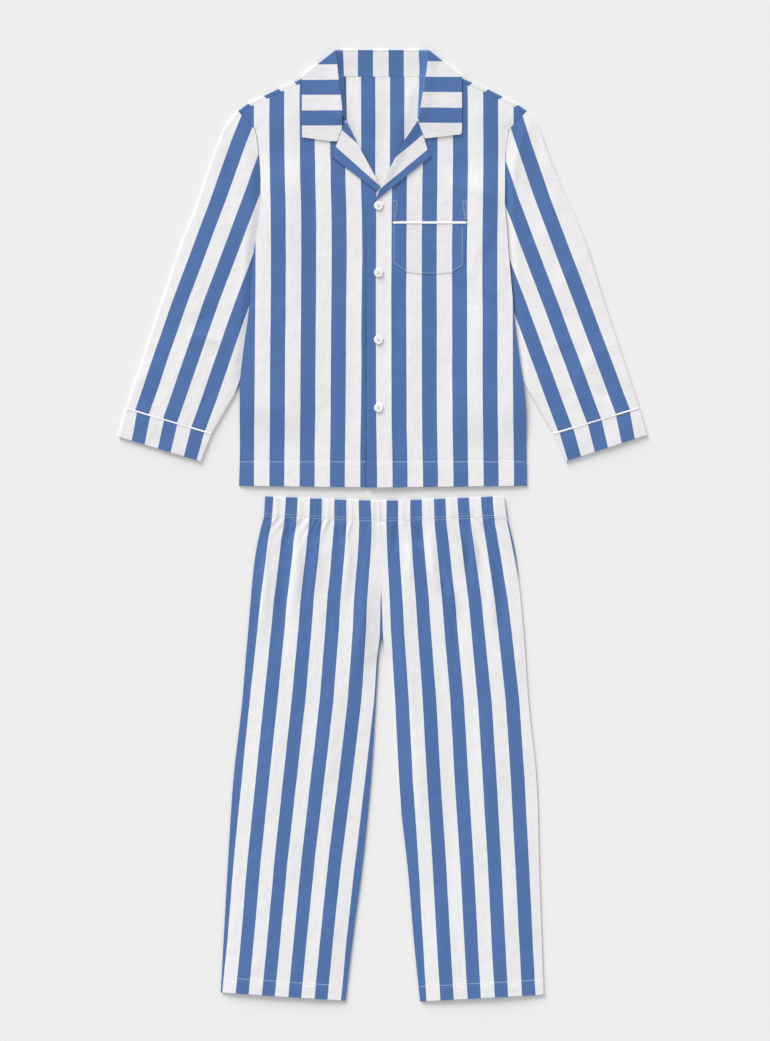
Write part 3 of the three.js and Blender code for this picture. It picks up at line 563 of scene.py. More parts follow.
def distance(x, y, line):
    """How far each place is from a line of points."""
    best = np.full(np.shape(x), np.inf)
    for a, b in zip(line[:-1], line[1:]):
        d = b - a
        t = np.clip(((x - a[0]) * d[0] + (y - a[1]) * d[1]) / max(d @ d, 1e-12), 0, 1)
        best = np.minimum(best, np.hypot(x - a[0] - t * d[0], y - a[1] - t * d[1]))
    return best


def turned(ring):
    """The ring, listed counter-clockwise."""
    x, y = ring.T
    return ring if np.dot(x, np.roll(y, -1)) - np.dot(y, np.roll(x, -1)) > 0 else ring[::-1]


def inset(ring, by):
    edge = np.roll(ring, -1, 0) - ring
    edge /= np.maximum(np.hypot(*edge.T), 1e-9)[:, None]
    normal = np.column_stack([-edge[:, 1], edge[:, 0]])
    both = normal + np.roll(normal, 1, 0)
    both /= np.maximum(np.hypot(*both.T), 0.3)[:, None]
    return ring + both * by


def laid_out(outline, step, holes=(), rim=RIM, fine=None):
    """Points and triangles of a flat panel, with a row of points just inside its edge. fine is
    a height above which the points lie closer, and how close."""
    ring = turned(finer(outline, step, closed=True))
    rings = [ring] + [turned(np.asarray(h, float))[::-1] for h in holes]
    low, high = ring[:, 1].min(), ring[:, 1].max()
    zones = [(low, high, step)] if fine is None else [(low, fine[0], step), (fine[0], high, fine[1])]
    grid = []
    for start, end, gap in zones:
        for k, y in enumerate(np.arange(start + gap / 2, end, gap * 0.87)):
            xs = np.arange(ring[:, 0].min() + (k % 2) * gap / 2, ring[:, 0].max(), gap)
            grid.append(np.column_stack([xs, np.full(len(xs), y)]))
    grid = np.concatenate(grid) if grid else np.zeros((0, 2))
    near = np.concatenate([inset(r, rim) for r in rings])
    next_row = np.concatenate([inset(r, 2 * rim) for r in rings])
    free = []
    for points, least in ((near, 0.75 * rim), (next_row, 1.75 * rim), (grid, 2 * rim + 0.4 * step)):
        x, y = points.T
        keep = inside(x, y, ring)
        for r in rings:
            keep &= distance(x, y, np.concatenate([r, r[:1]])) > least
        for r in rings[1:]:
            keep &= ~inside(x, y, r)
        free.append(points[keep])
    edges, start = [], 0
    for r in rings:
        edges += [(start + i, start + (i + 1) % len(r)) for i in range(len(r))]
        start += len(r)
    every = np.concatenate(rings + free)
    points, _, faces, *_ = delaunay_2d_cdt([Vector(p) for p in every], edges, [], 1, 1e-5)
    points = np.array([tuple(p) for p in points])
    faces = np.array([f for f in faces if len(f) == 3])
    for r in rings[1:]:
        middle = points[faces].mean(1)
        faces = faces[~inside(middle[:, 0], middle[:, 1], r)]
    a, b, c = (points[faces[:, k]] for k in range(3))
    twice = (b[:, 0] - a[:, 0]) * (c[:, 1] - a[:, 1]) - (b[:, 1] - a[:, 1]) * (c[:, 0] - a[:, 0])
    faces[twice < 0] = faces[twice < 0][:, ::-1]
    used, again = np.unique(faces, return_inverse=True)
    points, faces = points[used], again.reshape(faces.shape)
    pairs = np.sort(np.concatenate([faces[:, [0, 1]], faces[:, [1, 2]], faces[:, [2, 0]]]), 1)
    unique, count = np.unique(pairs, axis=0, return_counts=True)
    edge = np.zeros(len(points), bool)
    edge[unique[count == 1].ravel()] = True
    return points, faces, edge


def panel(outline, under, cloth, wall=CLOTH, step=None, holes=(), rim=RIM, fine=None):
    """A closed shell over an outline: under(x, y) is its underside, and its edge is rounded."""
    step = step or bpy.context.scene.pyjama_cloth.step / MM
    points, faces, edge = laid_out(outline, step, holes, rim, fine)
    x, y = points.T
    z = under(x, y)
    wall = wall(x, y) if callable(wall) else wall
    top = np.column_stack([x, y, z + np.where(edge, 0.5 * wall, wall)])
    low = np.column_stack([x, y, z])[~edge]
    below = np.arange(len(points))
    below[~edge] = len(points) + np.arange(len(low))
    verts = np.concatenate([top, low])
    places = cloth(verts[:, 0], verts[:, 1])
    return verts, [tuple(f) for f in faces] + [tuple(f) for f in below[faces][:, ::-1]], places


def closed_grid(outer, inner, cloth, ring=False):
    """A closed shell between two grids of points, rows by columns; ring joins first column to
    last. cloth is the cloth's places, or gives them from x and y."""
    rows, cols = outer.shape[:2]
    verts = np.concatenate([outer.reshape(-1, 3), inner.reshape(-1, 3)])
    shift = rows * cols
    faces = []
    across = range(cols if ring else cols - 1)
    for i in range(rows - 1):
        for j in across:
            k = (j + 1) % cols
            a, b, c, d = i * cols + j, i * cols + k, (i + 1) * cols + k, (i + 1) * cols + j
            faces += [(a, b, c, d), (d + shift, c + shift, b + shift, a + shift)]
    for i, flip in ((0, False), (rows - 1, True)):
        for j in across:
            a, b = i * cols + j, i * cols + (j + 1) % cols
            faces.append((a, a + shift, b + shift, b) if not flip else (b, b + shift, a + shift, a))
    if not ring:
        for j, flip in ((0, True), (cols - 1, False)):
            for i in range(rows - 1):
                a, b = i * cols + j, (i + 1) * cols + j
                faces.append((a, a + shift, b + shift, b) if not flip else (b, b + shift, a + shift, a))
    return *facing_out(verts, faces), cloth(*verts[:, :2].T) if callable(cloth) else cloth


def facing_out(verts, faces):
    """The faces, all turned over if they face inwards."""
    volume = 0.0
    for f in faces:
        for k in range(1, len(f) - 1):
            volume += float(np.dot(verts[f[0]], np.cross(verts[f[k]], verts[f[k + 1]])))
    return verts, (faces if volume > 0 else [f[::-1] for f in faces])


def flat_tube(outer, inner, bow, full, cloth, wall=CLOTH, across_step=6.0, lift=None):
    """A flattened tube: rows of outer and inner edge points, and its full height at share t of
    the way across row v. Its long edges are pressed folds and its ends are turned in."""
    run = lengths(outer + inner) / 2
    places_v = np.unique(np.concatenate([run, TUBE_ENDS, run[-1] - TUBE_ENDS]))
    outer, inner = along_line(outer, run, places_v), along_line(inner, run, places_v)
    rows, shares = len(places_v), places_v / run[-1]
    width = np.hypot(*(inner - outer).T).mean()
    edge = TUBE_FOLD * TUBE_FOLD_STEPS
    middle = np.linspace(TUBE_FOLD, width - TUBE_FOLD, max(6, int(width / across_step)))[1:-1]
    d = np.concatenate([edge, middle, (width - edge)[::-1]])
    curve = (1 - (1 - np.minimum(np.minimum(d, width - d) / TUBE_FOLD, 1)) ** 4) ** 0.25
    ring = np.concatenate([d, d[1:-1][::-1]])
    curve = np.concatenate([curve, curve[1:-1][::-1]])
    is_top = np.concatenate([np.ones(len(d)), -np.ones(len(d) - 2)])
    grids, places = [], []
    for is_inner in (False, True):
        t = (np.clip(ring, wall, width - wall) if is_inner else ring) / width
        grid = np.zeros((rows, len(ring), 3))
        for i, v in enumerate(shares):
            xy = outer[i] + (inner[i] - outer[i]) * t[:, None] + (bow(v, t) if bow else 0)
            turned_in = 0.94 + 0.06 * min(1.0, min(i, rows - 1 - i) / 2) ** 0.6
            half = full(t, v) / 2
            rise = half * curve * turned_in
            if is_inner:
                rise = np.maximum(rise - wall, 0.06)
            z = half + is_top * rise
            if lift is not None:
                z = z + lift(xy[:, 0], xy[:, 1]) * (is_top > 0) * curve
            grid[i] = np.column_stack([xy, z])
        grids.append(grid)
        flat = grid.reshape(-1, 3)
        places.append(cloth(flat[:, 0], flat[:, 1], np.tile(t, rows), np.repeat(shares, len(ring))))
    return closed_grid(grids[0], grids[1], np.concatenate(places), ring=True)


def allowance(line, reach, under, cloth, wall=0.4):
    """The turned-in cloth that lies under a seam, so that the seam shows no gap."""
    line = finer(line, 6.0)
    columns = [line + normals(line) * reach * k for k in (-1, -0.5, 0, 0.5, 1)]
    top = np.stack([np.column_stack([c, under(line[:, 0], line[:, 1]) - 0.15]) for c in columns], 1)
    return closed_grid(top, top - [0, 0, wall], cloth)


def folded_edge(line, inwards, top, bottom, reach_top, reach_bottom, cloth, wall=CLOTH):
    """Cloth that folds over a line: from reach_top inside it, round it, and back underneath."""
    line = finer(line, 4.0)
    normal = normals(line)
    normal *= np.sign(normal @ np.asarray(inwards, float))[:, None]
    deep, turns = EDGE_FOLD, np.linspace(0, math.pi, 9)
    # each column: how far in its outer and inner skin lie, and its side, 1 above to -1 below
    columns = [(reach_top * s + deep * (1 - s), None, 1.0) for s in (1, 0.7, 0.4, 0.04)]
    columns += [(deep * (1 - math.sin(a)), deep * (1 - math.sin(a)) + wall * math.sin(a), math.cos(a)) for a in turns]
    columns += [(reach_bottom * s + deep * (1 - s), None, -1.0) for s in (0.5, 1)]
    outer, inner = [], []
    for offset, offset_in, side in columns:
        xy = line + normal * offset
        x, y = line.T if offset < deep else xy.T
        high, low = top(x, y) + wall, bottom(x, y)
        middle, half = (high + low) / 2, (high - low) / 2
        outer.append(np.column_stack([xy, middle + half * side]))
        inner_xy = xy if offset_in is None else line + normal * offset_in
        inner.append(np.column_stack([inner_xy, middle + (half - wall) * side]))
    return closed_grid(np.stack(outer, 1), np.stack(inner, 1), cloth)


def joined(parts):
    verts, faces, places, start = [], [], [], 0
    for v, f, c in parts:
        verts.append(v)
        faces += [tuple(int(i) + start for i in face) for face in f]
        places.append(c)
        start += len(v)
    return np.concatenate(verts), faces, np.concatenate(places)


def piece(name, parts, material, nodes=()):
    """Make one mesh object of the parts, put it in its material, and hide the model's parts that it stands in for."""
    verts, faces, places = joined(parts)
    mesh = bpy.data.meshes.new(name)
    mesh.from_pydata((verts * MM).tolist(), [], faces)
    attribute = mesh.attributes.new("cloth", "FLOAT_VECTOR", "POINT")
    attribute.data.foreach_set("vector", places.astype(np.float32).ravel())
    mesh.polygons.foreach_set("use_smooth", [True] * len(mesh.polygons))
    mesh.materials.append(material)
    mesh.validate()
    made = bpy.data.objects.new(name, mesh)
    bpy.context.scene.collection.objects.link(made)
    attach(made, "root")
    if nodes:
        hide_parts(*nodes)
    return made


def sheet(ring, rests_on):
    """Takes a laid sheet's cut and what it rests on; nothing is done with them."""
    ring = np.asarray(ring, float)
    list(rests_on)


# Stitches: each is a short thread that dips into the cloth at both ends

def unstriped(x, y, *_):
    """Cloth places of what has no stripes."""
    return np.column_stack([np.zeros(len(x)), y, x])


def thread_bar(a, b, z, radius, arch=0.12):
    """One thread from a to b, thinner and lower at its ends."""
    a, b = np.asarray(a, float), np.asarray(b, float)
    d = (b - a) / max(np.hypot(*(b - a)), 1e-9)
    n = np.array([-d[1], d[0]])
    verts, faces = [], []
    shares = ((0.0, 0.45, -0.25), (0.16, 0.9, 0.3), (0.5, 1.0, 0.75), (0.84, 0.9, 0.3), (1.0, 0.45, -0.25))
    for share, fat, rise in shares:
        centre = a + (b - a) * share
        for k in range(6):
            angle = 2 * math.pi * k / 6
            side, up = math.cos(angle) * radius * fat, math.sin(angle) * radius * fat
            verts.append((*(centre + n * side), z + up + rise * radius + arch * math.sin(math.pi * share)))
    for i in range(len(shares) - 1):
        for k in range(6):
            p, q = i * 6 + k, i * 6 + (k + 1) % 6
            faces.append((p, q, q + 6, p + 6))
    last = (len(shares) - 1) * 6
    faces += [tuple(range(6))[::-1], tuple(last + k for k in range(6))]
    verts = np.array(verts)
    return *facing_out(verts, faces), unstriped(*verts[:, :2].T)


def spot_height(height, spot):
    return float(height(np.array([spot[0]]), np.array([spot[1]]))[0])


def stitches(line, height, long=2.4, apart=3.1, radius=THREAD):
    """A row of stitches along a line on the surface that height(x, y) gives."""
    line = np.asarray(line, float)
    run = lengths(line)
    parts = []
    for start in np.arange(0.4, run[-1] - long, apart):
        first, last = along_line(line, run, [start, start + long])
        parts.append(thread_bar(first, last, spot_height(height, (first + last) / 2), radius))
    return parts


def threads(name, parts, nodes=()):
    return piece(name, parts, sewing_thread(), nodes)


# Materials

def node(tree, kind, inputs=None, **settings):
    """Add a node with its settings. Each input is a number, a colour or the output that feeds it."""
    made = tree.nodes.new(kind)
    for key, value in settings.items():
        setattr(made, key, value)
    for socket, value in (inputs or {}).items():
        if isinstance(value, bpy.types.NodeSocket):
            tree.links.new(value, made.inputs[socket])
        else:
            made.inputs[socket].default_value = value
    return made


def made_once(name, fill):
    """The material of this name; fill(tree) adds its nodes when it is first asked for."""
    if name not in bpy.data.materials:
        material = bpy.data.materials.new(name)
        material.use_nodes = True
        material.node_tree.nodes.clear()
        fill(material.node_tree)
    return bpy.data.materials[name]


def cloth_places(tree):
    """Where a point is on its cloth: all three numbers, then stripe count, across and along."""
    place = node(tree, "ShaderNodeAttribute", attribute_name="cloth").outputs["Vector"]
    return place, *node(tree, "ShaderNodeSeparateXYZ", {0: place}).outputs


def toned(tree, colour, tone):
    return node(tree, "ShaderNodeVectorMath", {0: colour, "Scale": tone}, operation="SCALE").outputs[0]


def surfaced(tree, colour, rough, relief=None, deep=MM, **settings):
    """End a material with its shader. relief is a height map and deep is the metres of one unit."""
    inputs = {"Base Color": colour, "Roughness": rough, **{k.replace("_", " "): v for k, v in settings.items()}}
    if relief is not None:
        bump = node(tree, "ShaderNodeBump", {"Height": relief, "Distance": deep, "Strength": 1.0})
        inputs["Normal"] = bump.outputs[0]
    shader = node(tree, "ShaderNodeBsdfPrincipled", inputs)
    node(tree, "ShaderNodeOutputMaterial", {"Surface": shader.outputs["BSDF"]})


def math_node(tree, operation, *values):
    return node(tree, "ShaderNodeMath", dict(enumerate(values)), operation=operation).outputs[0]


def ranged(tree, value, low, high, at_low, at_high):
    inputs = {"Value": value, "From Min": low, "From Max": high, "To Min": at_low, "To Max": at_high}
    return node(tree, "ShaderNodeMapRange", inputs).outputs[0]


def mixed(tree, share, first, second):
    inputs = {"Factor": share, "A": first, "B": second}
    return node(tree, "ShaderNodeMix", inputs, data_type="RGBA").outputs["Result"]


def yarn_noise(tree, place, across, along):
    """Noise drawn out along the yarn; across and along are features per millimetre."""
    stretched = node(tree, "ShaderNodeVectorMath", {0: place, 1: (0.0, across, along)}, operation="MULTIPLY")
    return node(tree, "ShaderNodeTexNoise", {"Vector": stretched.outputs[0], "Scale": 1.0, "Detail": 2.0}).outputs[0]


def woven_poplin(name, white, blue):
    """Cotton poplin, yarn-dyed and plain-woven, pressed but not finished: matt, with a faint
    sheen at a low angle and fine uneven ribs where thicker yarns run."""
    choices = bpy.context.scene.pyjama_cloth

    def fill(tree):
        place, count, across, along = cloth_places(tree)
        warp, weft = yarn_noise(tree, place, 0.45, 0.02), yarn_noise(tree, place, 0.03, 0.4)
        patch = yarn_noise(tree, place, 0.02, 0.012)
        # poplin has a yarn every 0.25 mm, too fine to show, so the crossings are drawn coarser
        turns = 2 * math.pi / (choices.yarn / MM)
        waves = [math_node(tree, "SINE", math_node(tree, "MULTIPLY", way, turns)) for way in (across, along)]
        crossing = math_node(tree, "MULTIPLY", *waves)
        # a dyed yarn's edge is never quite straight, by about a tenth of a millimetre
        shaken = math_node(tree, "MULTIPLY_ADD", weft, 0.006, count)
        away = math_node(tree, "PINGPONG", math_node(tree, "SUBTRACT", shaken, 0.003), 0.5)
        half = choices.stripe_share / 2
        is_blue = ranged(tree, away, half - 0.005, half + 0.005, 1.0, 0.0)
        # white weft shows through the blue warp at the crossings
        flecked = mixed(tree, ranged(tree, crossing, 0.1, 1.0, 0.0, 0.09), (*blue, 1), (*white, 1))
        both = mixed(tree, is_blue, (*white, 1), flecked)
        weft_tone = math_node(tree, "MULTIPLY_ADD", weft, 0.08, math_node(tree, "MULTIPLY_ADD", patch, 0.07, -0.005))
        uneven = math_node(tree, "ADD", math_node(tree, "MULTIPLY_ADD", warp, 0.14, 0.86), weft_tone)
        rough = math_node(tree, "MULTIPLY_ADD", warp, 0.12, 0.76)
        # heights in millimetres: crossings, thick yarns and the slight cockle of washed cotton
        cockle = math_node(tree, "MULTIPLY", yarn_noise(tree, place, 0.07, 0.045), 0.7)
        yarns = math_node(tree, "MULTIPLY_ADD", warp, 0.07, math_node(tree, "MULTIPLY_ADD", weft, 0.06, cockle))
        relief = math_node(tree, "MULTIPLY_ADD", crossing, 0.035, yarns)
        surfaced(tree, toned(tree, both, uneven), rough, relief, IOR=1.53, Specular_IOR_Level=0.25,
                 Sheen_Weight=0.08, Sheen_Roughness=0.5)
    return made_once(name, fill)


def single_cotton():
    choices = bpy.context.scene.pyjama_cloth
    return woven_poplin("cotton_poplin_yarn_dyed_woven", tuple(choices.white), tuple(choices.blue))


def double_cotton():
    """The same poplin where it is sewn double, so that its white is fuller."""
    choices = bpy.context.scene.pyjama_cloth
    return woven_poplin("cotton_poplin_sewn_double", tuple(choices.double_white), tuple(choices.blue))


def bias_piping():
    """Cotton piping, cut on the bias and folded over a cord: bright, matt, with slanting yarns, drawn as relief and
    as faint painted shade lines in its colour.
    """
    def fill(tree):
        place, _, across, along = cloth_places(tree)
        # bias yarns are 0.3 mm apart, drawn at 1 mm
        both = math_node(tree, "ADD", across, along)
        slant = math_node(tree, "SINE", math_node(tree, "MULTIPLY", both, 2 * math.pi))
        fuzz = yarn_noise(tree, place, 0.6, 0.6)
        # painted shade: faint darker lines along the slanting yarns; the fuzz varies the tone at random
        tone = math_node(tree, "MULTIPLY_ADD", slant, 0.012, math_node(tree, "MULTIPLY_ADD", fuzz, 0.06, 0.96))
        relief = math_node(tree, "MULTIPLY_ADD", slant, 0.03, math_node(tree, "MULTIPLY", fuzz, 0.12))
        surfaced(tree, toned(tree, tuple(bpy.context.scene.pyjama_trim.piping), tone),
                 math_node(tree, "MULTIPLY_ADD", fuzz, 0.1, 0.72), relief,
                 IOR=1.53, Specular_IOR_Level=0.3, Sheen_Weight=0.08)
    return made_once("cotton_piping_bias_cut", fill)


def sewing_thread():
    """Polyester sewing thread, spun in two plies: a soft lustre, with the plies' twist, drawn as relief and as
    painted shade in its colour.
    """
    def fill(tree):
        _, _, across, along = cloth_places(tree)
        both = math_node(tree, "ADD", across, along)
        twist = math_node(tree, "SINE", math_node(tree, "MULTIPLY", both, 9.0))
        # painted shade: the colour darkens along the plies' twist, where the grooves between them fall in shade
        tone = math_node(tree, "MULTIPLY_ADD", twist, 0.04, 0.96)
        surfaced(tree, toned(tree, tuple(bpy.context.scene.pyjama_trim.thread), tone),
                 math_node(tree, "MULTIPLY_ADD", twist, 0.05, 0.5), twist, 0.05 * MM, IOR=1.58)
    return made_once("polyester_thread_spun", fill)


def button_resin():
    """Polyester resin button, turned from a cast blank and tumbled: glossy white with a faint
    pearl cloud in it and fine turning rings in its dish."""
    def fill(tree):
        place, _, across, along = cloth_places(tree)
        cloud = yarn_noise(tree, place, 0.25, 0.25)
        tone = math_node(tree, "MULTIPLY_ADD", cloud, 0.1, 0.94)
        squares = math_node(tree, "MULTIPLY_ADD", across, across, math_node(tree, "MULTIPLY", along, along))
        out = math_node(tree, "SQRT", squares)
        rings = math_node(tree, "SINE", math_node(tree, "MULTIPLY", out, 2 * math.pi / 0.5))
        surfaced(tree, toned(tree, tuple(bpy.context.scene.pyjama_trim.button), tone),
                 math_node(tree, "MULTIPLY_ADD", cloud, 0.12, 0.2), rings, 0.006 * MM,
                 IOR=1.55, Coat_Weight=0.35, Coat_Roughness=0.12)
    return made_once("polyester_resin_turned", fill)


def matt_board():
    """Painted board, matt: the plain pale floor."""
    def fill(tree):
        spread = node(tree, "ShaderNodeTexCoord").outputs["Object"]
        grain = node(tree, "ShaderNodeTexNoise", {"Vector": spread, "Scale": 900.0, "Detail": 2.0}).outputs[0]
        tone = math_node(tree, "MULTIPLY_ADD", grain, 0.006, 0.997)
        surfaced(tree, toned(tree, tuple(bpy.context.scene.pyjama_stage.floor), tone), 0.95, Specular_IOR_Level=0.0)
    return made_once("painted_board_matt", fill)


# Outlines

def shoulder_seam(name):
    below, above = path(ARMHOLE, name)[-2:]
    return np.concatenate([[below, below + (above - below) * 0.38], path(SHOULDER, name) - [0, SHOULDER_DROP]])


def shoulder_fold(name):
    return np.concatenate([[[ARMHOLE[name][-1], ARMHOLE["y"][-1]]], path(SHOULDER, name)])


def neckline(name):
    inward = -2 if name == "right" else 2
    return path(COLLAR, name)[1:] + [inward, 0]


def side_line(name, top):
    """The side and armhole, from the hem up; top rows of the armhole are kept or left."""
    side = rounded(path(SIDE_EDGE, name), 5)
    hole = rounded(np.concatenate([path(SIDE_EDGE, name)[-1:], path(ARMHOLE, name)[:top]]), 4)
    return np.concatenate([side, hole[1:]])


def mirrored_at_fold(name):
    """The back's stripes, turned over at the shoulder fold."""
    fold = shoulder_fold(name)
    fold = fold[np.argsort(fold[:, 0])]
    stripes = upright(SHOULDER_STRIPE[name], STRIPE["repeat"])

    def cloth(x, y):
        k = np.clip(np.searchsorted(fold[:, 0], x) - 1, 0, len(fold) - 2)
        a, d = fold[k], fold[k + 1] - fold[k]
        d /= np.hypot(*d.T)[:, None]
        along = (x - a[:, 0]) * d[:, 0] + (y - a[:, 1]) * d[:, 1]
        mirror = 2 * (a + along[:, None] * d) - np.column_stack([x, y])
        return stripes(mirror[:, 0], mirror[:, 1])
    return cloth


# Making the shirt

def make_back():
    name_edges = {name: side_line(name, len(ARMHOLE["y"])) for name in ("left", "right")}
    fold = {name: shoulder_fold(name)[1:] + [0, -1.5] for name in ("left", "right")}
    outline = np.concatenate([
        [[0, HEM_MIDDLE_Y]], name_edges["left"], fold["left"], [[NECK_SEAM["left"], NECK_SEAM_Y]],
        [[NECK_SEAM["right"], NECK_SEAM_Y]], fold["right"][::-1], name_edges["right"][::-1],
    ])

    def under(x, y):
        in_neck = (1 - ramp(np.abs(x), 66, 80)) * ramp(y, 560, 600)
        return back_under(x, y) + in_neck * (folds(x, y, INSIDE_FOLDS) + 0.25 * ripple(x, y, 60, 5) + 0.3)

    parts = [panel(outline, under, inside_body)]
    for name in ("right", "left"):
        line = shoulder_fold(name)
        over = lambda x, y: back_under(x, y) + LAYER
        parts.append(folded_edge(line, (0, -1), over, back_under, SHOULDER_DROP - SEAM_GAP, 3.0,
                                 mirrored_at_fold(name)))
    made = piece("back_cloth", parts, single_cotton(), ["shirt_back"])
    sheet(outline, ["sleeve_cloth_right", "sleeve_cloth_left"])
    return made


def front_outline(name):
    if name == "right":
        return np.concatenate([
            [[LAP_UNDER, HEM_MIDDLE_Y], [LAP_UNDER, BREAK_Y]], path(ROLL_RIGHT), neckline("right")[::-1],
            shoulder_seam("right")[::-1], side_line("right", len(ARMHOLE["y"]) - 2)[::-1],
        ])
    return np.concatenate([
        [[LAP_TOP, HEM_MIDDLE_Y]], side_line("left", len(ARMHOLE["y"]) - 2), shoulder_seam("left"),
        neckline("left"), path(ROLL_LEFT)[::-1], path(LAP_EASE),
    ])


def slit(y):
    """A buttonhole's opening."""
    half, wide = BUTTONHOLE["length"] / 2, BUTTONHOLE["width"] / 2
    x = BUTTON_X + BUTTONHOLE["offset"]
    across = np.linspace(-half, half, 9)
    return np.concatenate([np.column_stack([x + across, np.full(9, y - wide)]),
                           np.column_stack([x + across[::-1], np.full(9, y + wide)])])


def make_fronts():
    made = []
    for name, under, holes, lies_on in (
        ("right", front_under, [], ["back_cloth"]),
        ("left", top_front_under, [slit(y) for y in BUTTON_ROWS], ["back_cloth", "front_cloth_right"]),
    ):
        outline = front_outline(name)
        front = piece(f"front_cloth_{name}", [panel(outline, under, on_body, holes=holes)], single_cotton(),
                      [f"shirt_front_{name}"])
        top = lambda x, y, under=under: under(x, y) + CLOTH
        side_end = at(BODY_EDGE, name, HEM_STITCH_Y) - SIDES[name]
        ends = (side_end, -29.5) if name == "right" else (15.5, side_end)
        rows = stitches([(x, HEM_STITCH_Y) for x in ends], top)
        if name == "left":
            rows += buttonhole_stitches(top)
        sewn = threads(f"front_stitches_{name}", rows)
        sheet(outline, lies_on)
        made.append(front)
    return made


def buttonhole_stitches(top):
    """Satin stitches round each buttonhole and a bar at each end."""
    rows = []
    for y in BUTTON_ROWS:
        x, half, wide = BUTTON_X + BUTTONHOLE["offset"], BUTTONHOLE["length"] / 2, BUTTONHOLE["width"] / 2
        for side in (-1, 1):
            for place in np.arange(x - half, x + half, 0.75):
                z = spot_height(top, (place, y)) - 0.1
                rows.append(thread_bar((place, y + side * (wide - 0.1)), (place, y + side * (wide + 1.0)), z, 0.3))
            for lean in (0, 0.5):
                end = x + side * (half + lean)
                z = spot_height(top, (end, y)) - 0.05
                rows.append(thread_bar((end, y - wide - 0.7), (end, y + wide + 0.7), z, 0.3))
    return rows


def lifted_from(line, height, reach):
    """Extra height along a roll line, where the cloth turns over and stands up a little."""
    def rise(x, y):
        return height * (1 - ramp(distance(x, y, line), 0, reach))
    return rise


def make_lapels():
    made = []
    for name, roll, edge, base, stripes in (
        ("right", ROLL_RIGHT, LAPEL_RIGHT, on_front, slanted((-80.7, 661.4), (-4.4, 593.5), 29.0, 1)),
        ("left", ROLL_LEFT, LAPEL_LEFT, on_top_front, slanted((-6.6, 587.0), (78.2, 658.1), 25.0, 1)),
    ):
        line = path(roll)[1:] if name == "right" else path(roll)
        outline = np.concatenate([line, path(edge)])
        rise = lifted_from(line, 1.6, 16)
        under = lambda x, y, base=base, rise=rise: base(x, y) + rise(x, y)
        lapel = piece(f"lapel_cloth_{name}", [panel(outline, under, stripes, wall=DOUBLE, step=3.2)], double_cotton(),
                      [f"lapel_{name}"])
        sheet(outline, [f"front_cloth_{name}"])
        made.append(lapel)
    return made


def make_collar():
    parts, area = [], 0.0
    backing = lambda x, y: np.zeros_like(x)
    stand_low = lambda x, y: LAYER + 0.9 * ramp(y, 792, 832)
    for name, leaf in (("right", LEAF_RIGHT), ("left", LEAF_LEFT)):
        outward = SIDES[name]
        roll = path(COLLAR, name)[:5]
        rise = lifted_from(roll, 2.0, 24)
        under = lambda x, y, rise=rise: on_front(x, y) + rise(x, y)
        side, corner = path(leaf)[-1], path(COLLAR, name)[0]
        outline = np.concatenate([rounded(roll, 4), path(leaf)])
        stripes = level(*LEAF_STRIPE[name])
        parts.append(panel(outline, under, stripes, wall=DOUBLE, step=3.4))
        area += polygon_area(outline)
        slope = np.array([corner + [0, -0.6], side + [0, -0.6]])
        inward = (-outward, -1)
        parts.append(folded_edge(slope, inward, under, backing, 2.2, 6.0, stripes, wall=1.0))
        # inside of the collar, from the back up to the roll, drawn solid blue: painted shade for the dark strip it
        # makes where it turns down in shadow
        ys = np.linspace(712, COLLAR_TOP_Y - 1.0, 40)
        inner, outer_x = at(COLLAR, f"inside_{name}", ys), at(COLLAR, name, ys) + 1.2 * outward
        low = np.where(ys > NECK_SEAM_Y, stand_low(inner, ys), back_under(inner, ys) + CLOTH + 0.75)
        high = under(outer_x - 1.2 * outward, ys) + 0.25
        ts = np.array([0, 0.12, 0.3, 0.5, 0.7, 0.88, 1.0])
        columns = [(inner + (outer_x - inner) * t, ys, low + (high - low) * t ** 1.3) for t in ts]
        grid = np.stack([np.column_stack(column) for column in columns], 1)
        # painted shade: every point takes the middle of a blue stripe, so the striped cloth shows as a dark strip
        blue = lambda x, y: np.column_stack([np.full(len(x), 0.02), x, y])
        parts.append(closed_grid(grid + [0, 0, 0.8], grid, blue))
        area += 14 * 120
    top_right, top_left = path(COLLAR, "right")[0], path(COLLAR, "left")[0]
    stand_y = NECK_SEAM_Y + SEAM_GAP
    stand = np.array([[COLLAR["inside_right"][0] - 1, COLLAR_TOP_Y - 1.5], [COLLAR["inside_right"][1] - 1, stand_y],
                      [COLLAR["inside_left"][1] + 1, stand_y], [COLLAR["inside_left"][0] + 1, COLLAR_TOP_Y - 1.5]])
    on_stand = upright(STRIPE["stand_x"], STRIPE["stand_repeat"], seed=21)
    parts.append(panel(stand, stand_low, on_stand, step=3.6))
    top_edge = np.array([top_right + [2, 0], top_left - [2, 0]])
    parts.append(folded_edge(top_edge, (0, -1), stand_low, backing, 2.5, 6.0, on_stand))
    fall = np.concatenate([[top_right - [0, 2], path(LEAF_RIGHT)[-1] + [1.5, -2]], path(FALL_EDGE)[::-1],
                           [path(LEAF_LEFT)[-1] + [-1.5, -2], top_left - [0, 2]]])
    parts.append(panel(fall, backing, level(755, STRIPE["repeat"])))
    area += polygon_area(stand) + polygon_area(fall)
    made = piece("collar_cloth", parts, double_cotton(), ["collar"])
    return made


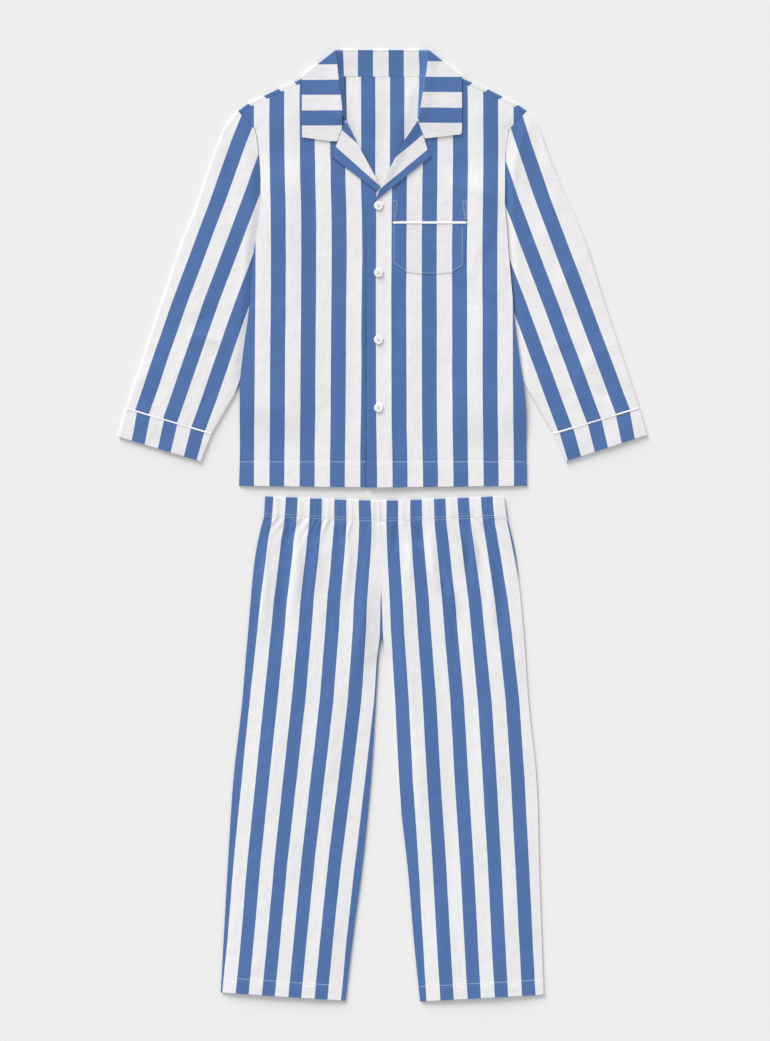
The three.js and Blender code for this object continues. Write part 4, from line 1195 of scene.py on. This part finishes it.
def make_pocket():
    p = POCKET
    patch = np.concatenate([[[p["right"], p["body_top"]]], path(POCKET_BOTTOM)[::-1], [[p["left"], p["body_top"]]]])
    band = np.array([[p["right"], p["band_end"] + SEAM_GAP], [p["left"], p["band_end"] + SEAM_GAP],
                     [p["left"], p["top"]], [p["right"], p["top"]]])

    def pressed(x, y):
        """The pocket lies close to the front, closest where it is sewn down."""
        near = np.minimum(x - p["right"], p["left"] - x)
        near = np.minimum(near, y - np.interp(x, POCKET_BOTTOM["x"][::-1], POCKET_BOTTOM["y"][::-1]))
        return on_top_front(x, y) - 0.35 - 0.2 * (1 - ramp(near, 0, 7))

    cloth = piece("pocket_cloth", [panel(patch, pressed, on_body, wall=POCKET_WALL)], double_cotton(),
                  ["pocket"])
    top_band = piece("pocket_band_cloth", [panel(band, pressed, on_body, wall=POCKET_WALL)], double_cotton(),
                     ["pocket_band"])
    xs = np.linspace(p["right"], p["left"], 34)
    low_y, high_y = p["body_top"] - 0.55, p["band_end"] + SEAM_GAP + 0.55
    turns = np.linspace(0, 2 * math.pi, 12, endpoint=False)
    grid = np.zeros((len(xs), len(turns), 3))
    for j, angle in enumerate(turns):
        y = (low_y + high_y) / 2 + math.cos(angle) * (high_y - low_y) / 2
        base = pressed(xs, np.full_like(xs, (low_y + high_y) / 2))
        grid[:, j] = np.column_stack([xs, np.full_like(xs, y), base + 0.8 + math.sin(angle) * 0.45])
    core, middle_z = grid.copy(), grid[:, :, 2].mean(1, keepdims=True)
    core[:, :, 1] = (low_y + high_y) / 2 + (grid[:, :, 1] - (low_y + high_y) / 2) * 0.3
    core[:, :, 2] = middle_z + (grid[:, :, 2] - middle_z) * 0.3
    piping = piece("pocket_piping_cord", [closed_grid(grid, core, unstriped, ring=True)], bias_piping(),
                   ["pocket_piping"])
    on_pocket = lambda x, y: pressed(x, y) + POCKET_WALL
    rows = stitches(path(POCKET_STITCH), on_pocket, radius=0.27)
    corner = 6.0
    for side, inward in ((p["right"], 1), (p["left"], -1)):
        x_out, x_in = side + 1.6 * inward, side + (1.6 + corner) * inward
        tip = (side + 3.4 * inward, p["band_end"] + 2.0)
        down = [(x_out, p["top"] - 1.6), (x_out + 0.2 * inward, p["band_end"] + 4)]
        rows += stitches(down, on_pocket, radius=0.27)
        rows += stitches([(x_in, p["top"] - 1.6), tip], on_pocket, radius=0.27)
        rows += stitches([(x_out, p["top"] - 1.6), (x_in, p["top"] - 1.6)], on_pocket, radius=0.27)
    above_piping = [(p["right"] + 8, p["band_end"] + 1.9), (p["left"] - 8, p["band_end"] + 1.9)]
    rows += stitches(above_piping, on_pocket, radius=0.22)
    sewn = threads("pocket_stitches", rows)
    sheet(patch, ["front_cloth_left"])
    sheet(band, ["front_cloth_left"])
    return cloth


def make_buttons():
    b = BUTTON
    angles = np.linspace(0, 2 * math.pi, 56, endpoint=False)
    circle = np.column_stack([np.cos(angles), np.sin(angles)])
    small = np.linspace(0, 2 * math.pi, 14, endpoint=False)
    dot = np.column_stack([np.cos(small), np.sin(small)]) * b["hole"]
    spots = [(sx * b["spread"] / 2 ** 0.5, sy * b["spread"] / 2 ** 0.5) for sx in (-1, 1) for sy in (-1, 1)]
    for number, y0 in enumerate(BUTTON_ROWS, 1):
        reach = np.array([-b["radius"], 0, b["radius"]])
        gx, gy = np.meshgrid(BUTTON_X + reach, y0 + reach)
        seat = float(top_front_under(gx.ravel(), gy.ravel()).max()) + CLOTH + 0.25
        out = lambda x, y: np.hypot(x - BUTTON_X, y - y0)
        dish_edge = b["radius"] - b["rim"]
        wall = lambda x, y: (b["thick"] - b["dish"] * (1 - ramp(out(x, y), dish_edge - 1.6, dish_edge))
                             - 0.5 * ramp(out(x, y), b["radius"] - 1.0, b["radius"]))
        cloth = lambda x, y: np.column_stack([np.full(len(x), number * 7.3), x - BUTTON_X, y - y0])
        centre = np.array([BUTTON_X, y0])
        holes = [dot + centre + spot for spot in spots]
        disc = panel(circle * b["radius"] + centre, lambda x, y: np.full(len(x), seat), cloth, wall=wall, step=0.75,
                     holes=holes, rim=0.35)
        made = piece(f"button_{number}_turned", [disc], button_resin(), [f"button_{number}"])
        bars = []
        for side in (-1, 1):
            for shift in (-0.28, 0.28):
                y = y0 + side * b["spread"] / 2 ** 0.5 + shift
                half = b["spread"] / 2 ** 0.5 + 0.25
                z = seat + b["thick"] - b["dish"] + 0.05
                bars.append(thread_bar((BUTTON_X - half, y), (BUTTON_X + half, y), z, 0.3, 0.25))
        under_shank = lambda x, y: top_front_under(x, y) + CLOTH - 0.1
        shank = panel(circle[::4] * 1.6 + centre, under_shank, cloth, wall=0.6, step=0.9, rim=0.3)
        threads(f"button_{number}_thread", bars + [shank])


def sleeve_lines(name, step=6.0):
    """The outer and inner edge of a sleeve, and the share of the armhole's curve at each section."""
    rows = SLEEVES[name]
    outer = np.column_stack([rows["ox"], rows["oy"]])
    inner = np.column_stack([rows["ix"], rows["iy"]])
    run = lengths(outer + inner) / 2
    spots = np.linspace(0, run[-1], int(run[-1] / step))
    return smooth(outer, run, spots), smooth(inner, run, spots), np.interp(spots, run, rows["bulge"])


def make_sleeves():
    for name, outward in SIDES.items():
        outer, inner, bulge = sleeve_lines(name)
        head = finer(path(ARMHOLE, name)[::-1], 4) + [1.4 * SEAM_GAP * outward, 0]
        share = lengths(head) / lengths(head)[-1]
        curve = head - (outer[0] + (inner[0] - outer[0]) * share[:, None])
        rows = np.linspace(0, 1, len(bulge))

        def bow(v, t, curve=curve, share=share, bulge=bulge, rows=rows):
            return np.interp(v, rows, bulge) * along_line(curve, share, t)

        def lift(x, y, name=name):
            beyond = np.abs(x) - np.abs(at(BODY_EDGE, name, y))
            shows = ramp(beyond, 4, 26)
            under_body = np.exp(-((np.maximum(beyond, 0) / 8) ** 2)) * ramp(y, 200, 300) * (1 - ramp(y, 640, 700))
            wave = 0.65 * folds(x, y, SLEEVE_FOLDS[name]) + 0.2 * ripple(x, y, 80, 6) + 0.07 * ripple(x, y, 30, 8)
            stands_up = np.exp(-(((beyond - 13) / 7) ** 2)) * ramp(y, 200, 300) * (1 - ramp(y, 600, 680))
            return shows * (wave + 0.3) - 1.35 * under_body + 1.1 * stands_up

        count = by_height(SLEEVE_STRIPE[name], 23 if name == "right" else 29)

        def cloth(x, y, t, v, count=count, outward=outward):
            """The band at the sleeve's fold stays white."""
            places = count(x, y)
            places[:, 0] = outward * np.minimum(outward * places[:, 0], SLEEVE_LAST_COUNT)
            return places

        full = lambda t, v: FLAT_TUBE + SLEEVE_AIR * 4 * t * (1 - t)
        made = piece(f"sleeve_cloth_{name}", [flat_tube(outer, inner, bow, full, cloth, lift=lift)], single_cotton(),
                     [f"sleeve_{name}"])
        length = (np.hypot(*np.diff(outer, axis=0).T).sum() + np.hypot(*np.diff(inner, axis=0).T).sum()) / 2 * MM


def cuff_lines(name, near, far, rows):
    """Edges of a band across the sleeve's end; near and far are distances beyond it."""
    rows_of_sleeve = SLEEVES[name]
    start = np.array([rows_of_sleeve[column][-1] for column in ("ox", "oy", "ix", "iy")]).reshape(2, 2)
    end = np.array(CUFF_EDGE[name]).reshape(2, 2)
    length = np.hypot(*(end[0] - start[0]))
    far = length if far is None else far
    shares = np.linspace(near / length, far / length, rows)[:, None]
    return start[0] + (end[0] - start[0]) * shares, start[1] + (end[1] - start[1]) * shares


def make_cuffs():
    for name in ("right", "left"):
        begin, end = 0.05, 0.05 + PIPING_WIDTH
        outer, inner = cuff_lines(name, begin, end, 7)
        rise = lambda t, v: (FLAT_TUBE + 2 * PIPING_RISE * math.sin(math.pi * v) ** 0.6
                             + CUFF_AIR * 4 * t * (1 - t) + 0.5)
        piping = piece(f"cuff_piping_cord_{name}", [flat_tube(outer, inner, None, rise, unstriped, wall=0.5)],
                       bias_piping(), [f"cuff_piping_{name}"])
        outer, inner = cuff_lines(name, end + 0.1, None, 14)
        first, last, repeat = CUFF_STRIPE[name]

        def cloth(x, y, t, v, first=first, last=last, repeat=repeat):
            wide = 152.0
            count = (t - (first + (last - first) * v)) / repeat
            return np.column_stack([count, t * wide, v * 54 + 0.02 * x])

        def lift(x, y):
            return 0.25 * ripple(x, y, 45, 9) + 0.15
        rise = lambda t, v: CASING_TUBE + CUFF_AIR * 4 * t * (1 - t) - 0.35 * math.exp(-((v - 0.06) / 0.05) ** 2)
        made = piece(f"cuff_cloth_{name}", [flat_tube(outer, inner, None, rise, cloth, wall=1.0, lift=lift)],
                     double_cotton(), [f"cuff_{name}"])


# Making the trousers

# How long, wide and high a gather is, and how far it leans
GATHER_LIMITS = ((14, 52), (2.6, 5.2), (0.35, 1.15), (-0.05, 0.05))


def gather_places():
    """Where the elastic gathers the cloth: uneven, the same on every run."""
    rng = np.random.default_rng(41)
    x, rows = -203.0, []
    while x < 208:
        rows.append((x, *(rng.uniform(*limits) for limits in GATHER_LIMITS)))
        x += rng.uniform(8.5, 19)
    return table("x long width height lean", *rows)


GATHERS = gather_places()
GATHER_MESH = (-75.0, 2.0)


def waist_line(column):
    return np.column_stack([WAIST[f"{column}_x"], WAIST[column]])


def gathers(x, y):
    """Ridges that run down from the waistband's seam and fade."""
    seam = np.interp(x, WAIST["bottom_x"], WAIST["bottom"])
    below = np.maximum(seam - y, 0)
    total = np.zeros_like(x, dtype=float)
    for x0, long, width, height, lean in zip(*GATHERS.values()):
        spread = 1 + below / 220
        centre = x0 * spread + lean * below
        wide = width * (1 + 0.8 * below / long)
        total += height * np.exp(-((below / long) ** 1.4)) * np.exp(-(((x - centre) / wide) ** 2))
    return total


def band_gathers(x, y):
    total = np.zeros_like(x, dtype=float)
    for x0, width, height in zip(GATHERS["x"], GATHERS["width"], GATHERS["height"]):
        total += 0.75 * height * np.exp(-(((x - x0) / (0.8 * width)) ** 2))
    return total


def waist_count(x, y, *_):
    """Stripes of the legs, straight through the waistband."""
    right, left = by_height(LEG_STRIPE["right"], 31)(x, y), by_height(LEG_STRIPE["left"], 31, offset=5)(x, y)
    return np.where((x < CROTCH_X)[:, None], right, left)


def make_waistband():
    def level_line(v):
        """The waistband's line at a share of the way up it."""
        return waist_line("bottom") * (1 - v) + waist_line("top") * v

    lines = np.stack([level_line(v) for v in np.linspace(0, 1, 12)])
    outer, inner = lines[:, 0], lines[:, -1]

    def bow(v, t):
        """The band dips in the middle, and its edge is drawn in and out by the gathers."""
        line = level_line(v)
        first, last = line[0], line[-1]
        x = first[0] + (last[0] - first[0]) * t
        straight = first[1] + (last[1] - first[1]) * t
        wave = 0.35 * ripple(x, x * 0 + 10, 34, 12) * v * np.minimum(1, 40 * t * (1 - t))
        return np.column_stack([np.zeros(len(t)), np.interp(x, line[:, 0], line[:, 1]) - straight + wave])

    def full(t, v):
        elastic = 1.1 * math.sin(math.pi * (0.1 + 0.8 * v)) ** 0.3 * (4 * t * (1 - t)) ** 0.15
        return CASING_TUBE + CUFF_AIR * 4 * t * (1 - t) + elastic

    tube = flat_tube(outer, inner, bow, full, waist_count, wall=1.0, across_step=2.6, lift=band_gathers)
    made = piece("waistband_cloth", [tube], single_cotton(), ["waistband"])
    return made


def leg_outline(name):
    side, rows = SIDES[name], LEGS[name]
    keep = WAIST["bottom_x"] * side > 20
    top = np.column_stack([WAIST["bottom_x"][keep], WAIST["bottom"][keep] - 0.1])
    top = top if side < 0 else top[::-1]
    crotch = [[CROTCH_X + side * 0.05, WAIST["bottom"][3] - 0.1]]
    hem = np.array(LEG_HEM[name])
    outer = rounded(np.concatenate([top[:1], path(rows, "outer"), hem[:1]]), 6)
    inner = path(rows, "inner")
    inner[:2, 0] = CROTCH_X + side * 0.05
    split = 4 if name == "right" else 3
    low = rounded(np.concatenate([inner[split:], hem[1:]]), 6)
    return np.concatenate([top, crotch, inner[:split], low, outer[::-1][:-1]])


def leg_heights(name):
    side, rows, hem = SIDES[name], LEGS[name], LEG_HEM[name]
    ys = np.concatenate([[15.0], rows["y"], [min(hem[0][1], hem[1][1])]])
    outer = np.concatenate([[-207.9 if side < 0 else 217.5], rows["outer"], [hem[0][0]]])
    inner = np.concatenate([[CROTCH_X], rows["inner"], [hem[1][0]]])
    edges = {"y": ys, "outer": outer, "inner": inner}

    def near_edges(x, y):
        """How full the leg is, how near its folds are, and how near the middle seam is."""
        a, b = at(edges, "outer", y), at(edges, "inner", y)
        share = np.clip((x - a) / (b - a), 0, 1)
        both = np.clip((x + 225) / 455, 0, 1)
        one_front = ramp(y, -240, -120)
        full = 4 * (share * (1 - share) * (1 - one_front) + both * (1 - both) * one_front)
        to_inner = np.abs(x - b)
        return full, np.minimum(np.abs(x - a), to_inner + 40 * ramp(y, -235, -200)), to_inner

    hem_line = lambda x: np.interp(x, sorted([hem[0][0], hem[1][0]]), [q[1] for q in sorted(hem)])

    def under(x, y):
        full, near, to_inner = near_edges(x, y)
        inwards = ramp(near, 0, 20)
        wave = folds(x, y, LEG_FOLDS) + 0.22 * ripple(x, y, 105, 14) + 0.08 * ripple(x, y, 36, 16)
        at_crotch = ramp(y, -235, -200) * (1 - ramp(to_inner, 0, 14))
        above = y - hem_line(x) - LEG_HEM_DEPTH
        below_seam = np.maximum(np.interp(x, WAIST["bottom_x"], WAIST["bottom"]) - y, 0)
        at_seam = 1.1 * (1 - full) * np.exp(-below_seam / 14) - 0.1 * np.exp(-below_seam / 5.0)
        return (LAYER + 0.45 + LEG_AIR * full + inwards * (wave + 0.5) * (1 - 0.3 * at_crotch)
                + 1.5 * gathers(x, y) * inwards + hem_step(above) + at_seam)
    return under, hem_line


def leg_count(name):
    """A leg's stripes, drawn a little aside where the cloth rolls under at one of its edges."""
    stripes = by_height(LEG_STRIPE[name], 31)
    rows, column, pull, low, high = LEG_PULL[name]

    def cloth(x, y):
        places = stripes(x, y)
        near = np.exp(-(((x - at(rows, column, y)) / 12) ** 2))
        places[:, 0] += pull * near * ramp(y, low, low + 90) * (1 - ramp(y, high - 50, high))
        return places
    return cloth


def make_legs():
    for name, side in SIDES.items():
        outline = leg_outline(name)
        under, hem_line = leg_heights(name)
        count = leg_count(name)
        back = piece(f"leg_back_cloth_{name}", [panel(outline, lambda x, y: np.zeros_like(x), count, step=9.0)],
                     single_cotton(), [f"leg_back_{name}"])
        sheet(outline, [])
        parts = [panel(outline, under, count, step=4.6, rim=0.2, fine=GATHER_MESH)]
        keep = WAIST["bottom_x"] * side > 20
        seam = np.column_stack([WAIST["bottom_x"][keep] * 0.985, WAIST["bottom"][keep] - 4])
        parts.append(allowance(seam, 3.5, under, count))
        if name == "left":
            centre_seam = [(CROTCH_X, 2), (CROTCH_X, -190)]
            parts.append(allowance(centre_seam, 5, under, count))
            parts.append(allowance(centre_seam, 0.5, lambda x, y: under(x, y) + 0.78, count))
        front = piece(f"leg_front_cloth_{name}", parts, single_cotton(), [f"leg_front_{name}"])
        top = lambda x, y, under=under: under(x, y) + CLOTH
        hem = np.array(sorted(LEG_HEM[name]))
        line = hem + [[1.5, LEG_HEM_DEPTH], [-1.5, LEG_HEM_DEPTH]]
        sewn = threads(f"leg_stitches_{name}", stitches(line, top))
        sheet(outline, [f"leg_back_cloth_{name}"])


def make_waist_stitches():
    """Two rows of stitches that hold the elastic's casing."""
    line = finer(waist_line("bottom"), 3)[1:-1]
    rows = []
    for up in (0.9, 5.2):
        place = line + [0, up]
        top = lambda x, y: CASING_TUBE + 1.0 + 0.05 + band_gathers(x, y) + CUFF_AIR * 0.6
        rows += stitches(place, top, long=2.2, apart=3.3, radius=0.24)
    return threads("waistband_stitches", rows)


def make_stage():
    choices = bpy.context.scene.pyjama_stage
    half = 4.0
    mesh = bpy.data.meshes.new("floor")
    mesh.from_pydata([(-half, -half, 0), (half, -half, 0), (half, half, 0), (-half, half, 0)], [], [(0, 1, 2, 3)])
    mesh.materials.append(matt_board())
    floor = bpy.data.objects.new("floor", mesh)
    bpy.context.scene.collection.objects.link(floor)

    world = bpy.data.worlds.new("soft_room")
    bpy.context.scene.world = world
    world.use_nodes = True
    world.node_tree.nodes["Background"].inputs["Color"].default_value = (0.985, 0.992, 1.0, 1)
    world.node_tree.nodes["Background"].inputs["Strength"].default_value = choices.sky

    key = bpy.data.lights.new("key", "SUN")
    key.energy, key.angle, key.color = choices.key, choices.key_softness, (1.0, 0.985, 0.965)
    light = bpy.data.objects.new("key", key)
    towards = Vector((0.44, -0.9, -math.tan(choices.key_height)))
    light.rotation_mode = "QUATERNION"
    light.rotation_quaternion = towards.to_track_quat("-Z", "Y")
    bpy.context.scene.collection.objects.link(light)

    # the photo's 770 by 1041 frame covers this much of the surface
    frame_long, centre = 1821.75 * MM, (3.85 * MM, 9.19 * MM)
    data = bpy.data.cameras.new("camera")
    data.sensor_width = 36
    data.lens = data.sensor_width * choices.camera_height / frame_long
    data.clip_end = 100
    camera = bpy.data.objects.new("camera", data)
    camera.location = (*centre, choices.camera_height)
    bpy.context.scene.collection.objects.link(camera)
    bpy.context.scene.camera = camera
    bpy.context.scene.view_settings.view_transform = "Standard"


# Operators

class PYJAMA_OT_sleeves(bpy.types.Operator):
    """Make both sleeves, each a flattened tube"""

    bl_idname = "pyjama.sleeves"
    bl_label = "Sleeves"

    def execute(self, context):
        make_sleeves()
        return {"FINISHED"}


class PYJAMA_OT_cuffs(bpy.types.Operator):
    """Make both cuffs and their piping"""

    bl_idname = "pyjama.cuffs"
    bl_label = "Cuffs"

    def execute(self, context):
        make_cuffs()
        return {"FINISHED"}


class PYJAMA_OT_back(bpy.types.Operator):
    """Make the shirt's back, with the strips over the shoulders"""

    bl_idname = "pyjama.back"
    bl_label = "Shirt back"

    def execute(self, context):
        make_back()
        return {"FINISHED"}


class PYJAMA_OT_fronts(bpy.types.Operator):
    """Make both fronts, with their hems and buttonholes"""

    bl_idname = "pyjama.fronts"
    bl_label = "Shirt fronts"

    def execute(self, context):
        make_fronts()
        return {"FINISHED"}


class PYJAMA_OT_lapels(bpy.types.Operator):
    """Make both lapels"""

    bl_idname = "pyjama.lapels"
    bl_label = "Lapels"

    def execute(self, context):
        make_lapels()
        return {"FINISHED"}


class PYJAMA_OT_collar(bpy.types.Operator):
    """Make the collar: stand, fall and two leaves"""

    bl_idname = "pyjama.collar"
    bl_label = "Collar"

    def execute(self, context):
        make_collar()
        return {"FINISHED"}


class PYJAMA_OT_pocket(bpy.types.Operator):
    """Make the chest pocket, its band and its piping"""

    bl_idname = "pyjama.pocket"
    bl_label = "Pocket"

    def execute(self, context):
        make_pocket()
        return {"FINISHED"}


class PYJAMA_OT_buttons(bpy.types.Operator):
    """Make the four buttons and their thread"""

    bl_idname = "pyjama.buttons"
    bl_label = "Buttons"

    def execute(self, context):
        make_buttons()
        return {"FINISHED"}


class PYJAMA_OT_waistband(bpy.types.Operator):
    """Make the elastic waistband and its stitches"""

    bl_idname = "pyjama.waistband"
    bl_label = "Waistband"

    def execute(self, context):
        make_waistband()
        make_waist_stitches()
        return {"FINISHED"}


class PYJAMA_OT_legs(bpy.types.Operator):
    """Make both legs, front and back, with their hems"""

    bl_idname = "pyjama.legs"
    bl_label = "Trouser legs"

    def execute(self, context):
        make_legs()
        return {"FINISHED"}


class PYJAMA_OT_stage(bpy.types.Operator):
    """Make the floor, the light and the camera"""

    bl_idname = "pyjama.stage"
    bl_label = "Stage"

    def execute(self, context):
        make_stage()
        return {"FINISHED"}


OPERATORS = (
    PYJAMA_OT_sleeves, PYJAMA_OT_cuffs, PYJAMA_OT_back, PYJAMA_OT_fronts, PYJAMA_OT_lapels, PYJAMA_OT_collar,
    PYJAMA_OT_pocket, PYJAMA_OT_buttons, PYJAMA_OT_waistband, PYJAMA_OT_legs, PYJAMA_OT_stage,
)


class PYJAMA_PT_panel(bpy.types.Panel):
    """Sizes, colours and pieces of the pyjama set"""

    bl_idname = "PYJAMA_PT_panel"
    bl_label = "Pyjama set"
    bl_space_type = "VIEW_3D"
    bl_region_type = "UI"
    bl_category = "Pyjama set"

    def draw(self, context):
        scene = context.scene
        for choices in (scene.pyjama_cloth, scene.pyjama_trim, scene.pyjama_stage):
            box = self.layout.box()
            for name in choices.__annotations__:
                box.prop(choices, name)
        for operator in OPERATORS:
            self.layout.operator(operator.bl_idname)


CLASSES = (ClothChoices, TrimChoices, StageChoices, *OPERATORS, PYJAMA_PT_panel)


def register():
    for cls in CLASSES:
        bpy.utils.register_class(cls)
    bpy.types.Scene.pyjama_cloth = bpy.props.PointerProperty(type=ClothChoices)
    bpy.types.Scene.pyjama_trim = bpy.props.PointerProperty(type=TrimChoices)
    bpy.types.Scene.pyjama_stage = bpy.props.PointerProperty(type=StageChoices)


def unregister():
    for name in ("pyjama_stage", "pyjama_trim", "pyjama_cloth"):
        delattr(bpy.types.Scene, name)
    for cls in reversed(CLASSES):
        bpy.utils.unregister_class(cls)


def main():
    register()
    for operator in OPERATORS:
        group, name = operator.bl_idname.split(".")
        if getattr(getattr(bpy.ops, group), name)() != {"FINISHED"}:
            raise RuntimeError(f"{operator.bl_label} was not made")


if __name__ == "__main__":
    main()
